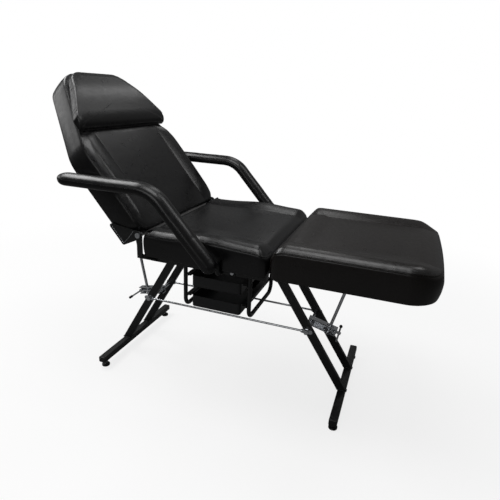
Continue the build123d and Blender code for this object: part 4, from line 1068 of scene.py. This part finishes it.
def pad_section():
    """Section of an arm pad by its angle a: 32 cos^p a across and 20.5 sin^q a up, rounder above than below,
    with a narrow groove for the piping, and which of its points are on top."""
    angle = np.linspace(0.0, math.tau, 72, endpoint=False)
    c, s = np.cos(angle), np.sin(angle)
    power_up = np.where(s > 0, 2.0 / 1.75, 2.0 / 4.5)
    power_across = np.where(s > 0, 2.0 / 1.95, 2.0 / 5.0)
    across = 32.0 * np.sign(c) * np.abs(c) ** power_across
    high = 20.5 * np.sign(s) * np.abs(s) ** power_up
    groove = np.exp(-(((high + 3.5) / 1.1) ** 2)) * (np.abs(across) > 24)
    return across - np.sign(across) * 1.3 * groove, high, s > 0.3


def facing_out(rings):
    """The rings, in reverse order if their faces would point inwards at the 80th."""
    ring, start = rings[80], rings[80, 0]
    face = np.cross(rings[80, 1] - start, rings[81, 0] - start)
    return rings[::-1] if face @ (start - ring.mean(axis=0)) < 0 else rings


def pad_rings(side, line):
    """Rings of an arm pad: its section carried along its line, scaled by the tips' shares, with a slight sag
    of two slow sines on top. The rear tip turns up by 4 mm."""
    across, high, on_top = pad_section()
    steps, height = line["steps"], line["height"]
    sag = 0.5 * np.sin(steps / 31.0) * np.sin(steps / 47.0 + 1.0)
    x = side * ARM_X + side * across[None] * line["width"][:, None]
    lift = high[None] * height[:, None] + (sag * height)[:, None] * on_top[None]
    lift = lift + (4.0 * (1 - height) * line["rear_half"])[:, None]
    yz = line["at"][:, None] + line["up"][:, None] * lift[..., None]
    rings = np.concatenate([x[..., None], yz], axis=-1)
    return facing_out(rings[:, ::-1] if side < 0 else rings)


def pad_point(side, line, k, height):
    """The point at a height over an arm pad's middle line, at its step k."""
    (y, z), (up_y, up_z) = line["at"][k], line["up"][k]
    return np.array([side * ARM_X, y + up_y * height, z + up_z * height])


def pad_folds(side, line):
    """Nine shallow folds across an arm pad's top, and four deeper ones under its bend."""
    rng = np.random.default_rng(50 + side)
    rows = []
    for _ in range(9):
        top = pad_point(side, line, rng.integers(20, len(line["at"]) - 20), 20)
        ends = top - np.array([26.0, 0, 0]), top + np.array([26.0, 6, 0])
        rows.append((*ends, rng.uniform(4, 7), rng.uniform(0.2, 0.7)))
    bend = int(np.argmin(np.abs(line["at"][:, 0] - 150)))
    for k in (bend - 8, bend - 2, bend + 4, bend + 9):
        under = pad_point(side, line, k, -20)
        rows.append((under - np.array([28.0, 0, 0]), under + np.array([28.0, 0, 0]), 4.0, 1.4))
    return rows


def pad_seams(side, line, stitch):
    """Piping and thread along both sides of an arm pad, 3.5 mm under its middle line, clear of the tips."""
    at, up = line["at"], line["up"]
    pipings, threads = [], []
    for hand in (-1, 1):
        seam_x = ARM_X * side + hand * (31.0 * line["width"] + 0.1)
        seam = np.column_stack([seam_x, at + up * (-3.5 * line["height"])[:, None]])[4:-4]
        pipings.append(tube(seam, 0.9, 6, closed=False))
        out = np.tile([float(hand), 0.0, 0.0], (len(seam), 1))
        thread_line = seam + out * 0.9 + np.column_stack([np.zeros(len(seam)), up[4:-4] * 4.0])
        threads.append(stitches(thread_line, out, stitch, length=4.2, radius=0.5, closed=False))
    return joined(pipings), joined(threads)


class TATTOO_OT_arm_pads(bpy.types.Operator):
    """Makes the padded arms"""
    bl_idname = "tattoo_chair.arm_pads"
    bl_label = "Arm Pads"

    def execute(self, context):
        sizes = context.scene.tattoo_chair_upholstery
        line = pad_line()
        high = pad_section()[1]
        for side, side_name in ((-1, "right"), (1, "left")):
            rings = set_in_folds(pad_rings(side, line), pad_folds(side, line), sizes.fold)
            # The -X arm's section runs the other way round, so there this band of wear lies underneath
            band = np.tile(np.exp(-(((high - 12.0) / 6.0) ** 2)), len(rings))
            wear = np.concatenate([band * 0.6, [0.0, 0.0]])
            points, quads, triangles = shell(rings, rings[0].mean(axis=0), rings[-1].mean(axis=0))
            made = make_object(f"arm_cover_{side_name}", points, quads, triangles, {"rub": wear})
            dress(made, "base", "black_pu_leather", (f"arm_pad_{side_name}",))
            piping, thread = pad_seams(side, line, sizes.stitch)
            made = make_object(f"arm_piping_{side_name}", *piping)
            dress(made, "base", "black_pu_leather")
            made = make_object(f"arm_stitching_{side_name}", *thread)
            dress(made, "base", "bonded_nylon_thread")
        return {"FINISHED"}


# Frame finishes and fittings
FINISH_OF_SLOT = {
    "black_paint": "powder_coated_steel",
    "zinc_steel": "bright_zinc_plate",
    "black_plastic": "moulded_polypropylene",
    "plywood": "non_woven_lining",
    "black_leather": "black_pu_leather",
}


class TATTOO_OT_frame_finishes(bpy.types.Operator):
    """Gives every CAD node its real finish"""
    bl_idname = "tattoo_chair.frame_finishes"
    bl_label = "Frame Finishes"

    def execute(self, context):
        for row in frame["record"]["subparts"]:
            node = NODES[row["node"]]
            name = FINISH_OF_SLOT[row["material_slot"]]
            if row["node"] in ("front_lever_knob", "rear_lever_tip"):
                name = "phenolic_knob"
            node.data.materials.clear()
            node.data.materials.append(finish(name))
        return {"FINISHED"}


def leg_weld(x, y, z, half_length):
    """Weld bead round the end of a stand leg: a tube along its outline, whose radius ripples as a sine."""
    around, sides, radius = 110, 7, 1.7
    half = STAND_LEG_HALF_THICKNESS + 0.3
    outline = plan(((half, -half_length, 1.5), (half, half_length, 1.5)), arc_points=6)
    loop = resample(outline, around) + np.array([x, y])
    ripple = 1.0 + 0.16 * np.sin(np.arange(around) * math.tau / 5.0)
    line = np.column_stack([loop, np.full(around, z)])
    points, quads = tube(line, 1.0, sides)
    middle = np.repeat(line, sides, axis=0)
    return middle + (points - middle) * np.repeat(radius * ripple, sides)[:, None], quads


class TATTOO_OT_welds(bpy.types.Operator):
    """Makes the weld beads of the stand's legs and the tray hoops"""
    bl_idname = "tattoo_chair.welds"
    bl_label = "Weld Beads"

    def execute(self, context):
        beads = []
        rise = SEAT_FRAME_UNDERSIDE - FOOT_BAR_TOP
        for foot_y, top_y in ((REAR_FOOT_Y, REAR_LEG_TOP_Y), (FRONT_FOOT_Y, FRONT_LEG_TOP_Y)):
            half_length = STAND_LEG_HALF_WIDTH * math.hypot(rise, top_y - foot_y) / rise
            for side in (-1, 1):
                x = side * STAND_LEG_X
                beads.append(leg_weld(x, foot_y, FOOT_BAR_TOP + 0.4, half_length))
                beads.append(leg_weld(x, top_y, SEAT_FRAME_UNDERSIDE - 0.4, half_length))
        angle = np.linspace(0.0, math.tau, 48, endpoint=False)
        radius = HOOP_RADIUS + 0.2
        height = np.full(len(angle), SEAT_FRAME_UNDERSIDE - 0.5)
        for y in (REAR_HOOP_Y, FRONT_HOOP_Y):
            for x in (-HOOP_X, HOOP_X):
                loop = np.column_stack([x + radius * np.cos(angle), y + radius * np.sin(angle), height])
                beads.append(tube(loop, 1.5, 7))
        made = make_object("weld_beads", *joined(beads))
        dress(made, "base", "powder_coated_steel")
        return {"FINISHED"}


def foot_thread(x, y):
    """Screw thread above a levelling foot: a wire along the helix (r cos a, r sin a, rise a / turns)."""
    turns, radius, bottom, rise = 8, 5.05, 9.6, 10.2
    angle = np.linspace(0.0, math.tau * turns, turns * 20)
    height = bottom + rise * angle / angle[-1]
    helix = np.column_stack([x + radius * np.cos(angle), y + radius * np.sin(angle), height])
    return tube(helix, 0.42, 5, closed=False)


def staples(name, body, place, outline):
    """Staples that hold a cover under its board, one every 30 mm along an outline."""
    loop = np.column_stack([outline, np.full(len(outline), -0.1)])
    down = np.tile([0.0, 0.0, -1.0], (len(loop), 1))
    away = place(down) - place(np.zeros((1, 3)))
    made = make_object(name, *stitches(place(loop), away, spacing=30.0, length=10.0, radius=0.45))
    dress(made, body, "bright_zinc_plate")


class TATTOO_OT_fittings(bpy.types.Operator):
    """Makes the screw threads of the feet, a painted highlight along the edge of each black hinge plate and
    the staples
    """
    bl_idname = "tattoo_chair.fittings"
    bl_label = "Small Fittings"

    def execute(self, context):
        threads = [foot_thread(x, y) for x in (-FOOT_X, FOOT_X) for y in (REAR_FOOT_Y, FRONT_FOOT_Y)]
        made = make_object("foot_threads", *joined(threads))
        dress(made, "base", "bright_zinc_plate")

        # Painted highlight: a thin bright zinc wire along each black hinge plate's edge stands in for the
        # light that the black edge catches
        for side, side_name in ((-1, "right"), (1, "left")):
            corners = np.array([(side * HINGE_EDGE_X, along, height) for along, height in HINGE_EDGE])
            line = back_top_place(resample(corners, 60, closed=False))
            made = make_object(f"hinge_edge_{side_name}", *tube(line, 0.8, 6, closed=False))
            dress(made, "back", "bright_zinc_plate")

        inset = 24.0
        edge = HALF_WIDTH - inset
        seat = plan(((edge, SEAT_FRONT + inset, 12), (edge, SEAT_REAR - inset, 12)))
        leg = plan(((edge, LEG_END + inset, 50), (edge, LEG_START - inset, 12)))
        back = plan((
            (edge, inset, 30), (edge, BACK_SHOULDER - 8.0, 130),
            (BACK_HEAD_HALF - 12.0, BACK_LENGTH - 25.0, 50),
        ))
        staples("seat_staples", "base", flat_place, seat)
        staples("leg_staples", "leg_rest", flat_place, leg)
        staples("back_staples", "back", back_place, back)
        return {"FINISHED"}


# Studio
def lay_floor(settings):
    """Matt floor: grey to the lamps' light, its own colour to the camera, and white by a share that grows
    away from the chair, so that its shadow stays near it."""
    half = 9000.0
    corners = np.array([[-half, -half, 0], [half, -half, 0], [half, half, 0], [-half, half, 0]])
    floor = make_object("studio_floor", corners, np.array([[0, 1, 2, 3]]))
    material, tree, output = blank_material("matt_studio_floor")
    place = add_node(tree, "ShaderNodeTexCoord").outputs["Object"]
    away = add_node(tree, "ShaderNodeVectorMath", {0: place}, operation="LENGTH")
    far = add_node(
        tree, "ShaderNodeMapRange",
        {
            "Value": away.outputs["Value"],
            "From Min": 0.9,
            "From Max": 2.6,
            "To Min": settings.clean,
            "To Max": 1.0,
        },
        interpolation_type="SMOOTHSTEP",
    )
    camera_ray = add_node(tree, "ShaderNodeLightPath").outputs["Is Camera Ray"]
    paint = add_node(tree, "ShaderNodeBsdfDiffuse", {"Color": linear(settings.floor)})
    grey = add_node(tree, "ShaderNodeBsdfDiffuse", {"Color": (0.2, 0.2, 0.2, 1.0)})
    seen = add_node(tree, "ShaderNodeMixShader", {0: camera_ray, 1: grey.outputs[0], 2: paint.outputs[0]})
    white = add_node(tree, "ShaderNodeEmission", {"Color": (1, 1, 1, 1), "Strength": 1.0})
    share = add_node(tree, "ShaderNodeMath", {0: camera_ray, 1: far.outputs[0]}, operation="MULTIPLY")
    mixed = add_node(
        tree, "ShaderNodeMixShader",
        {0: share.outputs[0], 1: seen.outputs[0], 2: white.outputs[0]},
    )
    tree.links.new(mixed.outputs[0], output.inputs["Surface"])
    floor.data.materials.append(material)


def light_room(scene, settings):
    """Dim room, a little darker on the near side, which the camera and clear pieces see as white."""
    world = bpy.data.worlds.new("studio_room")
    scene.world = world
    world.use_nodes = True
    tree = world.node_tree
    tree.nodes.clear()
    place = add_node(tree, "ShaderNodeTexCoord").outputs["Generated"]
    parts = add_node(tree, "ShaderNodeSeparateXYZ", {0: place})
    near = add_node(
        tree, "ShaderNodeMapRange",
        {
            "Value": parts.outputs["X"],
            "From Min": 0.4,
            "From Max": -0.4,
            "To Min": settings.room,
            "To Max": settings.near_room,
        },
        interpolation_type="SMOOTHSTEP",
    )
    ray = add_node(tree, "ShaderNodeLightPath")
    room = add_node(tree, "ShaderNodeBackground", {"Color": (1, 1, 1, 1), "Strength": near.outputs[0]})
    white = add_node(tree, "ShaderNodeBackground", {"Color": (1, 1, 1, 1), "Strength": 1.0})
    clear = add_node(
        tree, "ShaderNodeMath",
        {0: ray.outputs["Is Camera Ray"], 1: ray.outputs["Is Transmission Ray"]},
        operation="MAXIMUM",
    )
    mixed = add_node(
        tree, "ShaderNodeMixShader",
        {0: clear.outputs[0], 1: room.outputs[0], 2: white.outputs[0]},
    )
    output = add_node(tree, "ShaderNodeOutputWorld")
    tree.links.new(mixed.outputs[0], output.inputs["Surface"])


def hang_softboxes(scene, settings):
    """Rectangular lamps, each turned from its place towards its target."""
    for name, (size, at, target) in SOFTBOXES.items():
        lamp = bpy.data.lights.new(f"{name}_softbox", "AREA")
        lamp.shape = "RECTANGLE"
        lamp.size, lamp.size_y = size
        lamp.energy = getattr(settings, f"{name}_light")
        holder = bpy.data.objects.new(lamp.name, lamp)
        back = unit(np.array(at) - np.array(target))
        right = unit(np.cross([0.0, 0.0, 1.0], back))
        up = np.cross(back, right)
        turned = Matrix([[right[k], up[k], back[k]] for k in range(3)])
        holder.matrix_world = Matrix.Translation(at) @ turned.to_4x4()
        scene.collection.objects.link(holder)


def set_camera(scene):
    """The camera solved from the photograph."""
    lens = bpy.data.cameras.new("photo_view")
    lens.sensor_width = SENSOR_WIDTH
    lens.lens = SENSOR_WIDTH * FOCAL_PIXELS / PHOTO_PIXELS
    lens.shift_x, lens.shift_y = CAMERA_SHIFT
    lens.clip_end = 60.0
    camera = bpy.data.objects.new("photo_view", lens)
    turned = Matrix(CAMERA_AXES).transposed()
    camera.matrix_world = Matrix.Translation(CAMERA_PLACE) @ turned.to_4x4().normalized()
    scene.collection.objects.link(camera)
    scene.camera = camera


class TATTOO_OT_stage(bpy.types.Operator):
    """Makes the floor, the lights, the room and the camera"""
    bl_idname = "tattoo_chair.stage"
    bl_label = "Studio"

    def execute(self, context):
        scene = context.scene
        settings = scene.tattoo_chair_studio
        lay_floor(settings)
        light_room(scene, settings)
        hang_softboxes(scene, settings)
        set_camera(scene)
        scene.view_settings.view_transform = "Standard"
        return {"FINISHED"}


class TATTOO_PT_panel(bpy.types.Panel):
    """Lists the sizes, colours and pieces of the chair"""
    bl_idname = "TATTOO_PT_panel"
    bl_label = "Tattoo Chair"
    bl_space_type = "VIEW_3D"
    bl_region_type = "UI"
    bl_category = "Tattoo Chair"

    def draw(self, context):
        scene = context.scene
        for name, _ in GROUPS:
            group = getattr(scene, name)
            box = self.layout.box()
            for key in group.__annotations__:
                box.prop(group, key)
        for operator in OPERATORS:
            self.layout.operator(operator.bl_idname)


OPERATORS = (
    TATTOO_OT_frame_finishes,
    TATTOO_OT_seat_cushion,
    TATTOO_OT_leg_cushion,
    TATTOO_OT_back_cushion,
    TATTOO_OT_head_pillow,
    TATTOO_OT_arm_pads,
    TATTOO_OT_welds,
    TATTOO_OT_fittings,
    TATTOO_OT_stage,
)
GROUPS = (
    ("tattoo_chair_upholstery", TattooChairUpholstery),
    ("tattoo_chair_finishes", TattooChairFinishes),
    ("tattoo_chair_studio", TattooChairStudio),
)


def register():
    """Registers the classes and gives the scene its groups of sizes, colours and lights."""
    for name, group in GROUPS:
        bpy.utils.register_class(group)
        setattr(bpy.types.Scene, name, PointerProperty(type=group))
    for each in (*OPERATORS, TATTOO_PT_panel):
        bpy.utils.register_class(each)


def unregister():
    """Takes back what register did, in the opposite order."""
    for each in (TATTOO_PT_panel, *reversed(OPERATORS)):
        bpy.utils.unregister_class(each)
    for name, group in reversed(GROUPS):
        delattr(bpy.types.Scene, name)
        bpy.utils.unregister_class(group)


def main():
    """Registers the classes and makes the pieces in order."""
    register()
    for operator in OPERATORS:
        group, name = operator.bl_idname.split(".")
        getattr(getattr(bpy.ops, group), name)()


if __name__ == "__main__":
    main()
